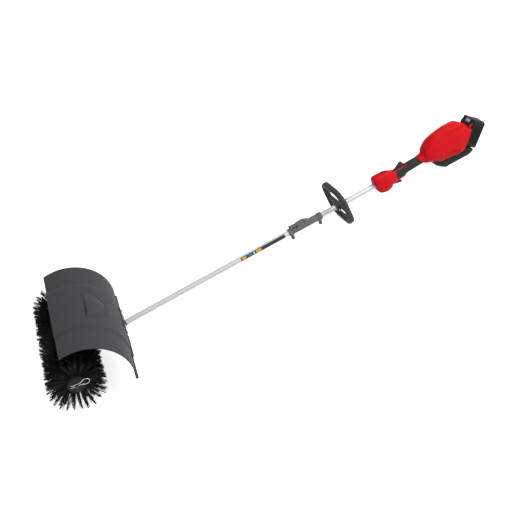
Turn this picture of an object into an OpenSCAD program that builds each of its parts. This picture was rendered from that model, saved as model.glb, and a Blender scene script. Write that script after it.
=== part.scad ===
// Cordless power brush sweeper: power head, quick coupler and an angled roller head.
// X runs along the shaft towards the battery, Z is up, and the origin lies on the
// ground under the middle of the skid rail. The user's left is -Y.

/* [Roller] */
// Diameter over the bristle tips
brush_d = 254; // [236:1:280]
// Length over the bristle tips
brush_len = 527; // [480:1:600]
// Outside diameter of the roller cores
core_d = 76; // [68:1:84]
// Wall of the roller cores
core_wall = 5; // [3:0.5:8]
// Diameter of the axle
axle_d = 15; // [12:0.5:17]
// Rows of strands along each half
strand_rows = 10; // [8:1:11]
// Strands around each row
strand_count = 20; // [18:1:22]

/* [Gearbox] */
// Angle of the roller off square to the shaft, which is the worm's lead angle
head_angle = 13; // [11.5:0.5:15]
// Module of the worm gearing
gear_module = 2; // [1.9:0.05:2.1]
// Teeth of the worm wheel
wheel_teeth = 33; // [31:1:35]
// Face width of the worm wheel
wheel_face = 12; // [9:1:14]
// Wall of the gear case
case_wall = 4; // [3:0.5:6]

/* [Hood] */
// Outside radius of the hood
hood_r = 191.5; // [180:0.5:205]
// Length of the hood along the roller
hood_len = 568; // [520:1:620]
// Sheet thickness of the hood
hood_wall = 4; // [2.5:0.5:5]
// Angle of the hood's front edge above the ground plane
hood_front_angle = 108.7; // [95:0.1:125]
// Angle of the hood's rear edge below the ground plane
hood_rear_angle = 15.4; // [13:0.1:20]
// How far the hood's centre lies behind the roller axis
hood_back = 45.6; // [35:0.1:55]
// How far the hood's centre lies below the roller axis
hood_drop = 14.5; // [8:0.1:20]
// Length of the raised middle band
band_len = 280; // [220:1:340]
// Height of the raised middle band
band_rise = 5; // [2:0.5:8]
// Width of the ramp on either side of the raised band
band_ramp = 11; // [5:1:20]

/* [Shaft] */
// Distance from the roller centre to the middle of the skid rail
reach = 1945; // [1850:5:2100]
// Distance from the roller centre to the front of the coupler
coupler_reach = 1067; // [950:1:1100]
// Length of the coupler
coupler_len = 170; // [160:1:190]
// Outside diameter of the coupler barrel
coupler_d = 32; // [31:0.5:40]
// Outside diameter of the tubes
tube_d = 24; // [22:0.1:25.4]
// Wall of the tubes
tube_wall = 1.5; // [1:0.1:2.5]
// Diameter of the drive shafts
drive_d = 8; // [7:0.1:9]

/* [Front handle] */
// Gap from the coupler's rear end to the middle of the handle's hub
loop_gap = 95; // [85:1:120]
// Width of the loop between band middles
loop_w = 170; // [140:1:190]
// Height of the loop's band middle above the shaft
loop_up = 102; // [80:1:120]
// Depth of the loop's band middle below the shaft
loop_low = 72; // [60:1:74]
// Width of the loop's band along the shaft
loop_band = 15; // [14:1:24]
// Thickness of the loop's band
loop_thick = 14; // [12:1:20]
// Forward rake of the loop
loop_rake = 8.4; // [0:0.1:12]

/* [Power head] */
// Distance from the skid rail's middle to the front of the nose
nose_reach = 430; // [410:1:450]
// Height of the nose above the shaft
nose_top = 46; // [42:1:52]
// Depth of the nose below the shaft
nose_low = 52; // [46:1:58]
// Width of the nose
nose_w = 60; // [52:1:70]
// Width of the grip
grip_w = 40; // [36:1:44]
// Height of the grip's top above the shaft at its rear
grip_top = 28; // [26:1:32]
// Depth of the grip below the shaft at its rear
grip_low = 11; // [10:0.5:14]
// Thickness of the grip sleeve
sleeve_wall = 2.5; // [1.5:0.5:3]
// Height of the motor housing above the shaft
body_top = 106; // [98:1:116]
// Depth of the motor housing below the shaft
body_low = 50; // [46:1:56]
// Width of the motor housing
body_w = 98; // [92:1:110]
// Wall of the housing halves
shell_wall = 2.6; // [2:0.1:3.5]
// Length of the skid rail's flat underside
rail_len = 132; // [120:1:140]
// Width of the skid rail
rail_w = 46; // [40:1:56]

/* [Battery] */
// Slope of the battery's slide above the ground plane
battery_tilt = 52; // [49:0.5:55]
// Length of the battery along its slide
battery_len = 128; // [118:1:136]
// Width of the battery
battery_w = 76; // [68:1:80]
// Depth of the battery's cell case
battery_h = 64; // [60:1:70]

/* [Hidden] */
$fn = 64;

// Overrun of every cut past the face that it opens
over = 1;
// Clearance of running fits on the radius
run_gap = 0.05;
// Clearance between faces that move past each other
slide_gap = 0.5;
// Clearance between pieces that lie against each other
seat_gap = 0.3;
// Sides of the lofted housing's half outline
loft_steps = 14;
// Steps of the angle that finds the housing wall at a height
search_step = 2;
search_end = 88;

// Worm gearing
worm_starts = 2;
addendum_share = 0.8;
dedendum_share = 1.2;
backlash_share = 0.17;
worm_len_share = 19;
gear_addendum = gear_module * addendum_share;
gear_dedendum = gear_module * dedendum_share;
gear_backlash = gear_module * backlash_share;
flank_angle = 20;
wheel_pitch_r = gear_module * wheel_teeth / 2;
worm_pitch_r = worm_starts * gear_module / (2 * sin(head_angle));
centre_distance = wheel_pitch_r + worm_pitch_r;
worm_lead = 2 * PI * worm_pitch_r * tan(head_angle);
worm_tip_r = worm_pitch_r + gear_addendum;
worm_len = gear_module * worm_len_share;
worm_slices = 44;

// Levels
brush_r = brush_d / 2;
shaft_z = brush_r - centre_distance;
tube_r = tube_d / 2;
drive_r = drive_d / 2;
tube_bore_r = tube_r - tube_wall;
head_x = -reach;

// Gear case, in the frame of the roller
bearing_ring = 17;
axle_bearing_d = axle_d + bearing_ring;
axle_bearing_w = 9;
seal_w = 4;
worm_bearing_r = tube_r;
worm_bearing_w = 8;
wheel_room = 1.5;
case_cavity_r = wheel_pitch_r + gear_addendum + wheel_room;
case_r = case_cavity_r + case_wall;
case_half = wheel_face / 2 + wheel_room + case_wall + axle_bearing_w + seal_w;
cover_y = wheel_face / 2 + wheel_room;
tunnel_r = worm_bearing_r + case_wall;
tunnel_half = worm_len / 2 + seal_w + worm_bearing_w;
tunnel_nose = 5;
tunnel_front = tunnel_half + tunnel_nose;
socket_len = 50;
tube_stop = 6;
cap_len = 5;
lug_r = 5;
lug_angles = [20, 70, 110, 160, 200, 340];
cover_screw_r = 2;
cover_screw_head_r = 3.6;
cover_screw_head = 3;
cover_screw_len = 30;

// Roller
axle_stub = 16;
axle_len = brush_len + 2 * axle_stub;
core_gap = 4;
core_inner_y = case_half + core_gap;
cap_thick = 8;
cap_boss = 5;
cap_boss_share = 0.42;
core_outer_y = brush_len / 2 - cap_thick;
hub_web = 8;
sleeve_thick = 3;
sleeve_r = core_d / 2 + seat_gap;
strand_root_r = sleeve_r + sleeve_thick;
strand_tip = 3.4;
strand_inset = 20;
strand_start = core_inner_y + strand_inset;
lean_left = 58;
lean_right = 7;
hairpin_d = 3.6;
hairpin_leg = 54;
hairpin_out = 14;
hairpin_turn = 8;
hairpin_y = brush_len / 2 + cap_boss + hairpin_d / 2 + run_gap;

// Hood fittings
tube_entry_z = shaft_z - brush_r + hood_drop;
hood_hole_r = tube_r + slide_gap;
flange_w = 130;
flange_wall = 4;
flange_up = 5;
flange_low = hood_rear_angle;
flange_mid_y = (hood_back + hood_r) * tan(head_angle);
collar_r = tube_r + case_wall;
collar_len = 9;
bolt_r = 3;
bolt_head_r = 5.5;
bolt_head = 4;
bolt_y_share = 0.4;
bolt_angles = [-11, 0];
rim_r = hood_r + band_rise;

// Coupler
coupler_x = head_x + coupler_reach;
coupler_mid_x = coupler_x + coupler_len / 2;
boss_shares = [0.09, 0.93];
boss_r = 6.5;
boss_drop = 31;
bolt_tip = 9;
flat_rise = 2.5;
lever_flat = tube_r + flat_rise;
lever_w = 20;
lever_front = 9;
lever_back = 80;
lever_finger = 36;
finger_rise = 8;
lever_finger_z = tube_r + finger_rise;
lever_step = 6;
lever_rise = 13;
lever_top = tube_r + lever_rise;
lever_eye_r = 3.8;
lever_pin_r = 2.5;
lever_pin_x = coupler_x + lever_back;
lever_pin_z = lever_flat + 2 * slide_gap + lever_eye_r;
cheek_wall = 4;
cheek_front = 36;
cheek_back = 12;
cheek_top = lever_pin_z + lever_pin_r + cheek_wall / 2;
plunger_r = 4;
plunger_arm = 20;
plunger_x = lever_pin_x - plunger_arm;
plunger_bite = 1.4;
socket_r = 9;
socket_half = 18;
square_side = 6;
square_len = 14;
bush_len = 22;

// Front handle
loop_x = coupler_x + coupler_len + loop_gap;
loop_corner = 55;
hub_len = 36;
hub_wall = 8;
hub_r = tube_r + hub_wall;
bar_h = 16;
loop_bolt_gap = 4;
loop_bolt_y = tube_r + loop_bolt_gap;
loop_bolt_r = 2.5;
loop_bolt_head_r = 4.5;
loop_bolt_head = 4;

// Housing: rows give x, top, bottom, half width, lean of the upper half and shear
tail_x = 56;
seat_drop = 3;
nose_x = -nose_reach;
grip_front_x = -313;
pod_end_x = -272;
grip_rear_x = -173;
grip_lean_share = 0.68;
grip_mid_top = 26;
pod_low = 33;
waist_share = 0.42;
roundness_share = 0.82;
nose_hole_r = tube_r + slide_gap;
nose_span = grip_front_x - nose_x;
nose_shares = [
    [0, 0.65, 0.42, 0.67, 0],
    [0.04, 0.87, 0.62, 0.88, 0],
    [0.21, 1, 0.86, 1, 0.05],
    [0.5, 1, 1, 1, 0.1],
    [0.69, 0.92, 0.93, 0.93, 0.1],
    [0.77, 0.82, 0.68, 0.87, 0.08],
    [0.9, 0.66, 0.64, 0.76, 0.04]
];
body_front_x = -168;
body_span = tail_x - body_front_x;
body_shares = [
    [0, 0.29, 0.24, 0.43, 0, -grip_lean_share],
    [0.036, 0.34, 0.32, 0.49, 0.03, 0],
    [0.07, 0.54, 0.38, 0.63, 0.06, 0],
    [0.134, 0.66, 0.46, 0.74, 0.15, 0],
    [0.25, 0.83, 0.7, 0.87, 0.25, 0],
    [0.41, 0.94, 1, 0.97, 0.3, 0],
    [0.64, 1, 1, 1, 0.34, 0],
    [0.75, 0.95, 1, 1, 0.33, 0.4],
    [0.88, 0.68, 0.96, 0.98, 0.27, 0.75],
    [1, 0.5, 0.92, 0.94, 0.2, 1]
];

// Inside the power head
mount_x = -66;
mount_thick = 6;
stator_len = 44;
stator_r = 29;
rotor_r = 15.5;
rotor_gap = 0.7;
motor_cover_wall = 2.5;
motor_bearing_r = 11;
motor_bearing_w = 7;
fan_r = 25;
fan_len = 8;
fan_blades = 9;
blade_thick = 2;
fan_hub_r = 8;
sleeve_joint_r = 8;
sleeve_joint_len = 24;
tube_end_x = -308;
board_z = 58;
board_thick = 1.6;
board_len = 50;
board_w = 48;
chip_h = 7;
screw_r = 2;
screw_boss_r = 4.5;
screw_head_r = 3.6;
screw_head = 3;
screw_grip_share = 0.8;
screw_places_shares = [
    [0.07, -0.45], [0.14, 0.6], [0.63, 0.4], [0.71, 0.7], [0.88, 0.62], [0.7, -0.62]
];
boss_sink_share = 0.6;

// Trigger, lock-off lever and speed switch
trigger_w = 12;
trigger_pivot_x = -338;
trigger_pivot_drop = 22;
trigger_len = 52;
trigger_drop = 49;
trigger_shares = [
    [-0.08, 0.36], [-0.08, 0.74], [0.5, 0.92], [0.95, 1], [1, 0.92], [0.85, 0.72], [0.72, 0.54], [0.14, 0.36]
];
pivot_pin_r = 2;
switch_len = 26;
switch_h = 12;
switch_w = 16.4;
lockoff_w = 11;
lockoff_pivot_x = -316;
lockoff_pivot_up = 16.5;
lockoff_len = 58;
lockoff_rise = 50;
lockoff_shares = [
    [-0.1, 0.48], [0.3, 0.68], [0.58, 0.92], [0.7, 1], [0.82, 0.96], [1, 0.62], [0.95, 0.44], [0, 0.36]
];
speed_x = -368;
speed_len = 14;
speed_w = 9;
speed_travel = 4;
speed_proud = 3;
speed_plate = 2;

// Skid rail
rail_toe = 52;
rail_toe_z = 44;
rail_toe_h = 22;
rail_tail = 20;
rail_tail_z = 11;
rail_tail_h = 23;
rail_web = 5;
rail_flare = 10;

// Battery and its dock, along the slide
neck_h = 20;
neck_w = 62;
neck_slope = 24;
neck_lip = 7;
shoulder_w = 72;
shoulder_len = 9;
shoulder_h = 11;
neck_back = 4;
battery_foot = 24;
battery_gap = 0.8;
case_skin = 2.5;
case_corner = 10;
lid_thick = 3;
cell_r = 10.6;
cell_len = 66;
cells_long = 5;
cell_pitch = 21.6;
dock_len = 46;
dock_wall = 3;
terminal_w = 2;
terminal_len = 22;
terminal_h = 9;
terminal_pitch = 12;
button_u = 64;
button_len = 29;
button_h = 14;
button_depth = 8;
button_proud = 2;
button_top = 3;
button_shares = [[0, 0], [1, 0], [1, 0.15], [0.2, 1], [0, 1]];

// Shared shapes
module along_x(x, r, len) {
    translate([x, 0, shaft_z]) rotate([0, 90, 0]) cylinder(r = r, h = len);
}

module along_y(r, y0, y1) {
    translate([0, y1, 0]) rotate([90, 0, 0]) cylinder(r = r, h = y1 - y0);
}

module ring_x(x, r_out, r_in, len) {
    difference() {
        along_x(x, r_out, len);
        along_x(x - over, r_in, len + 2 * over);
    }
}

module ring_y(r_out, r_in, y0, y1) {
    difference() {
        along_y(r_out, y0, y1);
        along_y(r_in, y0 - over, y1 + over);
    }
}

// Frame of the roller: Y along the axle, origin at the roller's centre
module at_head() {
    translate([head_x, 0, brush_r]) rotate([0, 0, -head_angle]) children();
}

// Frame of the worm: Z along the shaft, origin below the roller's centre
module at_worm() {
    translate([head_x, 0, shaft_z]) rotate([0, 90, 0]) children();
}

// Frame of the hood's sweep: angles from +X towards +Z, profile in radius and Y
module at_hood() {
    at_head() translate([hood_back, 0, -hood_drop]) rotate([90, 0, 0]) children();
}

module hood_sweep(low_angle, high_angle) {
    at_hood() rotate([0, 0, -low_angle])
        rotate_extrude(angle = low_angle + high_angle, $fn = 128) children();
}

// Frame of the battery: X up along its slide, Z towards the motor housing
module at_slide() {
    translate([tail_x, 0, shaft_z - seat_drop]) rotate([0, -battery_tilt, 0]) children();
}

module slab(low, high) {
    translate(low) cube(high - low);
}

module rounded_rect(w, h, r) {
    square([w, h - 2 * r], center = true);
    square([w - 2 * r, h], center = true);
    for (sx = [-1, 1], sy = [-1, 1])
        translate([sx * (w / 2 - r), sy * (h / 2 - r)]) circle(r);
}

// Lofted housing outlines
function mix(a, b, t) = a + (b - a) * t;

nose_rows = [
    for (s = nose_shares)
        [nose_x + s[0] * nose_span, s[1] * nose_top, -s[2] * nose_low, s[3] * nose_w / 2, s[4], 0]
];
grip_rows = [
    [grip_front_x, grip_mid_top, -pod_low, grip_w / 2, 0, 0],
    [pod_end_x, mix(grip_mid_top, grip_top, 1 / 4), -mix(pod_low, grip_low, 1 / 5), grip_w / 2, 0, 0],
    [mix(pod_end_x, grip_rear_x, 1 / 9), mix(grip_mid_top, grip_top, 1 / 3),
        -mix(pod_low, grip_low, 3 / 4), grip_w / 2, 0, 0],
    [grip_rear_x, grip_top, -grip_low, grip_w / 2, 0, -grip_lean_share]
];
body_rows = [
    for (s = body_shares)
        [body_front_x + s[0] * body_span, s[1] * body_top, -s[2] * body_low, s[3] * body_w / 2, s[4], s[5]]
];
housing_rows = concat(nose_rows, grip_rows, body_rows);
grip_first = len(nose_rows);
grip_last = grip_first + len(grip_rows) - 1;

function row_mid(row) = mix(row[2], row[1], waist_share);
function side_z(row, a, inset) =
    a >= 0
    ? row_mid(row) + (row[1] - inset - row_mid(row)) * pow(sin(a), roundness_share)
    : row_mid(row) - (row_mid(row) - row[2] - inset) * pow(-sin(a), roundness_share);
function side_y(row, a, inset) =
    (row[3] - inset) * pow(cos(a), roundness_share) * (1 - row[4] * max(0, sin(a)));
function side_point(row, a, inset) =
    let (z = side_z(row, a, inset))
    [row[0] + row[5] * (z + seat_drop) / tan(battery_tilt), side_y(row, a, inset), shaft_z + z];
function step_angle(k) = -90 + 180 * k / loft_steps;
function half_line(row, inset) = [for (k = [0 : loft_steps]) side_point(row, step_angle(k), inset)];
function round_line(x, r) =
    [for (k = [0 : loft_steps]) [x, r * cos(step_angle(k)), shaft_z + r * sin(step_angle(k))]];
function mirrored(line) = [for (k = [1 : loft_steps - 1]) [line[k][0], -line[k][1], line[k][2]]];
function reversed(list) = [for (k = [len(list) - 1 : -1 : 0]) list[k]];
function whole_ring(line) = concat(line, reversed(mirrored(line)));

// A row between two rows of a table, and the outline's half width at a height there
function row_at(x, rows, i = 0) =
    i + 2 >= len(rows) || rows[i + 1][0] >= x
    ? let (t = (x - rows[i][0]) / (rows[i + 1][0] - rows[i][0]))
        [for (c = [0 : len(rows[i]) - 1]) mix(rows[i][c], rows[i + 1][c], t)]
    : row_at(x, rows, i + 1);
function reach_y(row, z, inset, a = 0) =
    side_z(row, a, inset) * sign(z - row_mid(row)) >= z * sign(z - row_mid(row)) || abs(a) >= search_end
    ? side_y(row, a, inset)
    : reach_y(row, z, inset, a + sign(z - row_mid(row)) * search_step);

// Half shell between outer and inner half outlines, the right-hand one
module half_shell(outer, inner) {
    n = loft_steps + 1;
    m = len(outer);
    p = function (i, k) (2 * i) * n + k;
    q = function (i, k) (2 * i + 1) * n + k;
    points = [for (i = [0 : m - 1]) each concat(outer[i], inner[i])];
    walls = [
        for (i = [0 : m - 2], k = [0 : n - 2]) each [
            [p(i, k), p(i + 1, k), p(i + 1, k + 1)], [p(i, k), p(i + 1, k + 1), p(i, k + 1)],
            [q(i, k), q(i + 1, k + 1), q(i + 1, k)], [q(i, k), q(i, k + 1), q(i + 1, k + 1)]
        ]
    ];
    rims = [
        for (i = [0 : m - 2]) each [
            [p(i, 0), q(i, 0), q(i + 1, 0)], [p(i, 0), q(i + 1, 0), p(i + 1, 0)],
            [q(i, n - 1), p(i, n - 1), p(i + 1, n - 1)], [q(i, n - 1), p(i + 1, n - 1), q(i + 1, n - 1)]
        ]
    ];
    ends = [
        for (k = [0 : n - 2]) each [
            [p(0, k), p(0, k + 1), q(0, k + 1)], [p(0, k), q(0, k + 1), q(0, k)],
            [p(m - 1, k), q(m - 1, k + 1), p(m - 1, k + 1)], [p(m - 1, k), q(m - 1, k), q(m - 1, k + 1)]
        ]
    ];
    polyhedron(points, concat(walls, rims, ends));
}

// Solid through whole rings, each star-shaped about its first point
module ring_solid(rings) {
    n = len(rings[0]);
    m = len(rings);
    points = [for (r = rings) each r];
    walls = [
        for (i = [0 : m - 2], k = [0 : n - 1]) each [
            [i * n + k, (i + 1) * n + k, (i + 1) * n + (k + 1) % n],
            [i * n + k, (i + 1) * n + (k + 1) % n, i * n + (k + 1) % n]
        ]
    ];
    ends = [
        for (k = [1 : n - 2]) each [
            [0, k, k + 1], [(m - 1) * n, (m - 1) * n + k + 1, (m - 1) * n + k]
        ]
    ];
    polyhedron(points, concat(walls, ends));
}

// Tube through whole outer and inner rings
module ring_tube(outer, inner) {
    n = len(outer[0]);
    m = len(outer);
    p = function (i, k) (2 * i) * n + k % n;
    q = function (i, k) (2 * i + 1) * n + k % n;
    points = [for (i = [0 : m - 1]) each concat(outer[i], inner[i])];
    walls = [
        for (i = [0 : m - 2], k = [0 : n - 1]) each [
            [p(i, k), p(i + 1, k), p(i + 1, k + 1)], [p(i, k), p(i + 1, k + 1), p(i, k + 1)],
            [q(i, k), q(i + 1, k + 1), q(i + 1, k)], [q(i, k), q(i, k + 1), q(i + 1, k + 1)]
        ]
    ];
    ends = [
        for (k = [0 : n - 1]) each [
            [p(0, k), p(0, k + 1), q(0, k + 1)], [p(0, k), q(0, k + 1), q(0, k)],
            [p(m - 1, k), q(m - 1, k + 1), p(m - 1, k + 1)], [p(m - 1, k), q(m - 1, k), q(m - 1, k + 1)]
        ]
    ];
    polyhedron(points, concat(walls, ends));
}

// Hood and what holds it to the tube
module band_profile(r_out, thick) {
    translate([r_out - thick, -hood_len / 2]) square([thick, hood_len]);
}

module hood() {
    color("dimgray") difference() {
        hood_sweep(hood_rear_angle, hood_front_angle) polygon([
            [hood_r - hood_wall, -hood_len / 2], [hood_r, -hood_len / 2],
            [hood_r, -band_len / 2 - band_ramp], [rim_r, -band_len / 2],
            [rim_r, band_len / 2], [hood_r, band_len / 2 + band_ramp],
            [hood_r, hood_len / 2], [hood_r - hood_wall, hood_len / 2],
            [hood_r - hood_wall, band_len / 2 + band_ramp], [rim_r - hood_wall, band_len / 2],
            [rim_r - hood_wall, -band_len / 2], [hood_r - hood_wall, -band_len / 2 - band_ramp]
        ]);
        along_x(head_x + hood_r, hood_hole_r, hood_r);
        hood_bolt_places() cylinder(r = bolt_r + run_gap, h = hood_r, center = true);
    }
}

module hood_bolt_places() {
    for (a = bolt_angles, s = [-1, 1])
        at_hood() rotate([0, 0, a])
            translate([rim_r, 0, -flange_mid_y - s * bolt_y_share * flange_w])
                rotate([0, 90, 0]) children();
}

module flange_plate(r_out, thick) {
    hood_sweep(flange_low, flange_up)
        translate([r_out - thick, -flange_mid_y - flange_w / 2]) square([thick, flange_w]);
}

module tube_flange() {
    color("#26282a") difference() {
        union() {
            flange_plate(rim_r + flange_wall, flange_wall);
            difference() {
                along_x(head_x + hood_r, collar_r, collar_len + hood_back + rim_r - hood_r + flange_wall);
                hood_sweep(hood_rear_angle + flange_low, hood_front_angle)
                    band_profile(rim_r + flange_wall / 2, hood_r / 2);
            }
        }
        along_x(head_x, tube_r, hood_r * 2);
        hood_bolt_places() cylinder(r = bolt_r + run_gap, h = hood_r, center = true);
    }
}

module hood_bracket() {
    color("#3a3c3e") difference() {
        flange_plate(rim_r - hood_wall, flange_wall);
        along_x(head_x, hood_hole_r, hood_r * 2);
        hood_bolt_places() cylinder(r = bolt_r + run_gap, h = hood_r, center = true);
    }
}

module hood_bolts() {
    stack = 2 * flange_wall + hood_wall;
    nut_low = flange_wall - stack - bolt_head;
    color("#8a8d90") hood_bolt_places() {
        translate([0, 0, flange_wall]) cylinder(r = bolt_head_r, h = bolt_head, $fn = 6);
        translate([0, 0, nut_low]) cylinder(r = bolt_r, h = stack + bolt_head);
        translate([0, 0, nut_low - 2 * run_gap]) cylinder(r = bolt_head_r, h = bolt_head, $fn = 6);
    }
}

// Gearbox
module lug_places() {
    for (a = lug_angles)
        rotate([0, -a, 0]) translate([case_r, 0, 0]) children();
}

// Drum of the gear case with its screw lugs, as one outline
module case_drum(y0, y1) {
    translate([0, y1, 0]) rotate([90, 0, 0]) linear_extrude(y1 - y0) {
        circle(case_r);
        for (a = lug_angles) translate(turned(case_r, a)) circle(lug_r);
    }
}

module case_bores() {
    at_head() {
        along_y(axle_d / 2 + slide_gap, -case_half - over, case_half + over);
        for (s = [0, 1]) mirror([0, s, 0])
            along_y(axle_bearing_d / 2, -case_half - over, -case_half + seal_w + axle_bearing_w);
    }
    along_x(head_x - tunnel_front - over, worm_bearing_r, tunnel_front + tunnel_half + over);
    along_x(head_x, tube_bore_r, tunnel_half + tube_stop + over);
    along_x(head_x + tunnel_half + tube_stop, tube_r + run_gap, socket_len + over);
}

module gear_case() {
    color("#b9bcbf") difference() {
        union() {
            at_head() case_drum(-case_half, cover_y);
            along_x(head_x - tunnel_front, tunnel_r, tunnel_front + tunnel_half + tube_stop + socket_len);
        }
        at_head() along_y(case_cavity_r, -cover_y, cover_y + over);
        at_head() lug_places() along_y(cover_screw_r, cover_y - cover_screw_len, cover_y + over);
        case_bores();
    }
}

module gear_cover() {
    color("#b9bcbf") difference() {
        at_head() case_drum(cover_y, case_half);
        at_head() lug_places() along_y(cover_screw_r + run_gap, cover_y - over, case_half + over);
        along_x(head_x - case_half * 3, tunnel_r + seat_gap, case_half * 6);
        case_bores();
    }
}

module cover_screws() {
    color("#6e7174") at_head() lug_places() {
        along_y(cover_screw_r - run_gap, case_half - cover_screw_len, case_half);
        along_y(cover_screw_head_r, case_half, case_half + cover_screw_head);
    }
}

module worm_cap() {
    color("#505356") {
        along_x(head_x - tunnel_front - cap_len, tunnel_r, cap_len);
        along_x(head_x - tunnel_front, worm_bearing_r - run_gap, tunnel_nose + seal_w / 2);
    }
}

module axle_bearings() {
    color("silver") at_head() for (s = [0, 1]) mirror([0, s, 0])
        ring_y(axle_bearing_d / 2 - run_gap, axle_d / 2 + run_gap,
            -case_half + seal_w, -case_half + seal_w + axle_bearing_w);
}

module axle_seals() {
    color("#1c1c1c") at_head() for (s = [0, 1]) mirror([0, s, 0])
        ring_y(axle_bearing_d / 2 - run_gap, axle_d / 2 + run_gap, -case_half, -case_half + seal_w);
}

module worm_bearings() {
    color("silver") for (x = [-tunnel_half + seal_w / 2, tunnel_half - worm_bearing_w])
        ring_x(head_x + x, worm_bearing_r - run_gap, drive_r + run_gap, worm_bearing_w);
}

// Roller
module brush_axle() {
    color("#9a9da0") at_head() difference() {
        along_y(axle_d / 2, -axle_len / 2, axle_len / 2);
        for (s = [-1, 1]) translate([0, s * hairpin_y, 0])
            rotate([0, 90 - hairpin_turn, 0])
                cylinder(r = hairpin_d / 2 + run_gap, h = axle_d * 2, center = true);
    }
}

function tooth_half(r) =
    (PI * gear_module / 4 - gear_backlash) - (r - wheel_pitch_r) * tan(flank_angle);
function turned(r, a) = [r * cos(a), r * sin(a)];

module worm_wheel() {
    root_r = wheel_pitch_r - gear_dedendum;
    tip_r = wheel_pitch_r + gear_addendum;
    root_a = tooth_half(root_r) / root_r * 180 / PI;
    tip_a = tooth_half(tip_r) / tip_r * 180 / PI;
    pitch_a = 360 / wheel_teeth;
    first_a = -90 - pitch_a / 2;
    color("#b08d57") at_head() rotate([90, 0, 0]) difference() {
        linear_extrude(wheel_face, center = true) polygon([
            for (i = [0 : wheel_teeth - 1]) let (a = first_a + i * pitch_a) each [
                turned(root_r, a - root_a), turned(tip_r, a - tip_a),
                turned(tip_r, a + tip_a), turned(root_r, a + root_a)
            ]
        ]);
        cylinder(r = axle_d / 2 + run_gap, h = wheel_face * 2, center = true);
    }
    color("#b08d57") at_head() for (s = [0, 1]) mirror([0, s, 0])
        ring_y(axle_d, axle_d / 2 + run_gap, wheel_face / 2, cover_y - seat_gap);
}

module brush_core() {
    color("#2b2c2d") at_head() rotate([-90, 0, 0]) rotate_extrude() difference() {
        translate([axle_d / 2 + run_gap, core_inner_y])
            square([core_d / 2 - axle_d / 2 - run_gap, core_outer_y - core_inner_y]);
        translate([axle_d, core_inner_y + hub_web])
            square([core_d / 2 - core_wall - axle_d, core_outer_y - core_inner_y - 2 * hub_web]);
    }
}

module brush_core_right() brush_core();

module brush_core_left() at_head() mirror([0, 1, 0]) from_head() brush_core();

// Undoes at_head(), so that a piece can be mirrored in the roller's own frame
module from_head() {
    rotate([0, 0, head_angle]) translate([-head_x, 0, -brush_r]) children();
}

// Strands grow from every other cell of the sleeve's grid, so that nothing crosses
function cell_y(i) = mix(strand_start, core_outer_y, i / (2 * strand_rows));
function grid_point(i, j, r) =
    let (a = 180 * j / strand_count) [r * cos(a), cell_y(i), r * sin(a)];
function has_strand(i, j) = i % 2 == 1 ? false : (j + i / 2) % 2 == 0;
function tip_y(i, lean) =
    let (first = (cell_y(0) + cell_y(1)) / 2 - lean, last = brush_len / 2 - strand_tip / 2)
    mix(first, last, i / (2 * strand_rows - 2));
function tip_point(i, j, lean, di, dj) =
    let (a = 180 * (j + 0.5) / strand_count, h = strand_tip / 2, r = sqrt(brush_r * brush_r - h * h))
    [r * cos(a) - dj * h * sin(a), tip_y(i, lean) + di * h, r * sin(a) + dj * h * cos(a)];

module bristles(lean) {
    rows = 2 * strand_rows;
    cols = 2 * strand_count;
    outer = function (i, j) i * cols + j % cols;
    inner = function (e, j) (rows + 1) * cols + e * cols + j % cols;
    strands = [for (i = [0 : rows - 1], j = [0 : cols - 1]) if (has_strand(i, j)) [i, j]];
    tips_first = (rows + 3) * cols;
    points = concat(
        [for (i = [0 : rows], j = [0 : cols - 1]) grid_point(i, j, strand_root_r)],
        [for (e = [0, rows], j = [0 : cols - 1]) grid_point(e, j, sleeve_r)],
        [for (s = strands) each [
            tip_point(s[0], s[1], lean, -1, -1), tip_point(s[0], s[1], lean, -1, 1),
            tip_point(s[0], s[1], lean, 1, 1), tip_point(s[0], s[1], lean, 1, -1)
        ]]
    );
    cells = [
        for (i = [0 : rows - 1], j = [0 : cols - 1]) if (!has_strand(i, j)) each [
            [outer(i, j), outer(i, j + 1), outer(i + 1, j + 1)],
            [outer(i, j), outer(i + 1, j + 1), outer(i + 1, j)]
        ]
    ];
    growth = [
        for (n = [0 : len(strands) - 1])
            let (i = strands[n][0], j = strands[n][1], t = tips_first + 4 * n,
                roots = [outer(i, j), outer(i, j + 1), outer(i + 1, j + 1), outer(i + 1, j)])
            each concat(
                [for (k = [0 : 3]) each [
                    [roots[k], roots[(k + 1) % 4], t + (k + 1) % 4], [roots[k], t + (k + 1) % 4, t + k]
                ]],
                [[t, t + 1, t + 2], [t, t + 2, t + 3]]
            )
    ];
    bore = [
        for (j = [0 : cols - 1]) each [
            [inner(0, j), inner(1, j + 1), inner(0, j + 1)], [inner(0, j), inner(1, j), inner(1, j + 1)],
            [outer(0, j), inner(0, j), inner(0, j + 1)], [outer(0, j), inner(0, j + 1), outer(0, j + 1)],
            [outer(rows, j), inner(1, j + 1), inner(1, j)],
            [outer(rows, j), outer(rows, j + 1), inner(1, j + 1)]
        ]
    ];
    polyhedron(points, concat(cells, growth, bore));
}

module bristles_right() color("#151515") at_head() bristles(lean_right);

module bristles_left() color("#151515") at_head() mirror([0, 1, 0]) bristles(lean_left);

module hub_cap() {
    bore_r = axle_d / 2 + run_gap;
    color("#303132") {
        ring_y(core_d / 2 - core_wall, bore_r, core_outer_y, brush_len / 2);
        ring_y(core_d * cap_boss_share, bore_r, brush_len / 2, brush_len / 2 + cap_boss);
    }
}

module hub_cap_right() at_head() hub_cap();

module hub_cap_left() at_head() mirror([0, 1, 0]) hub_cap();

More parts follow.
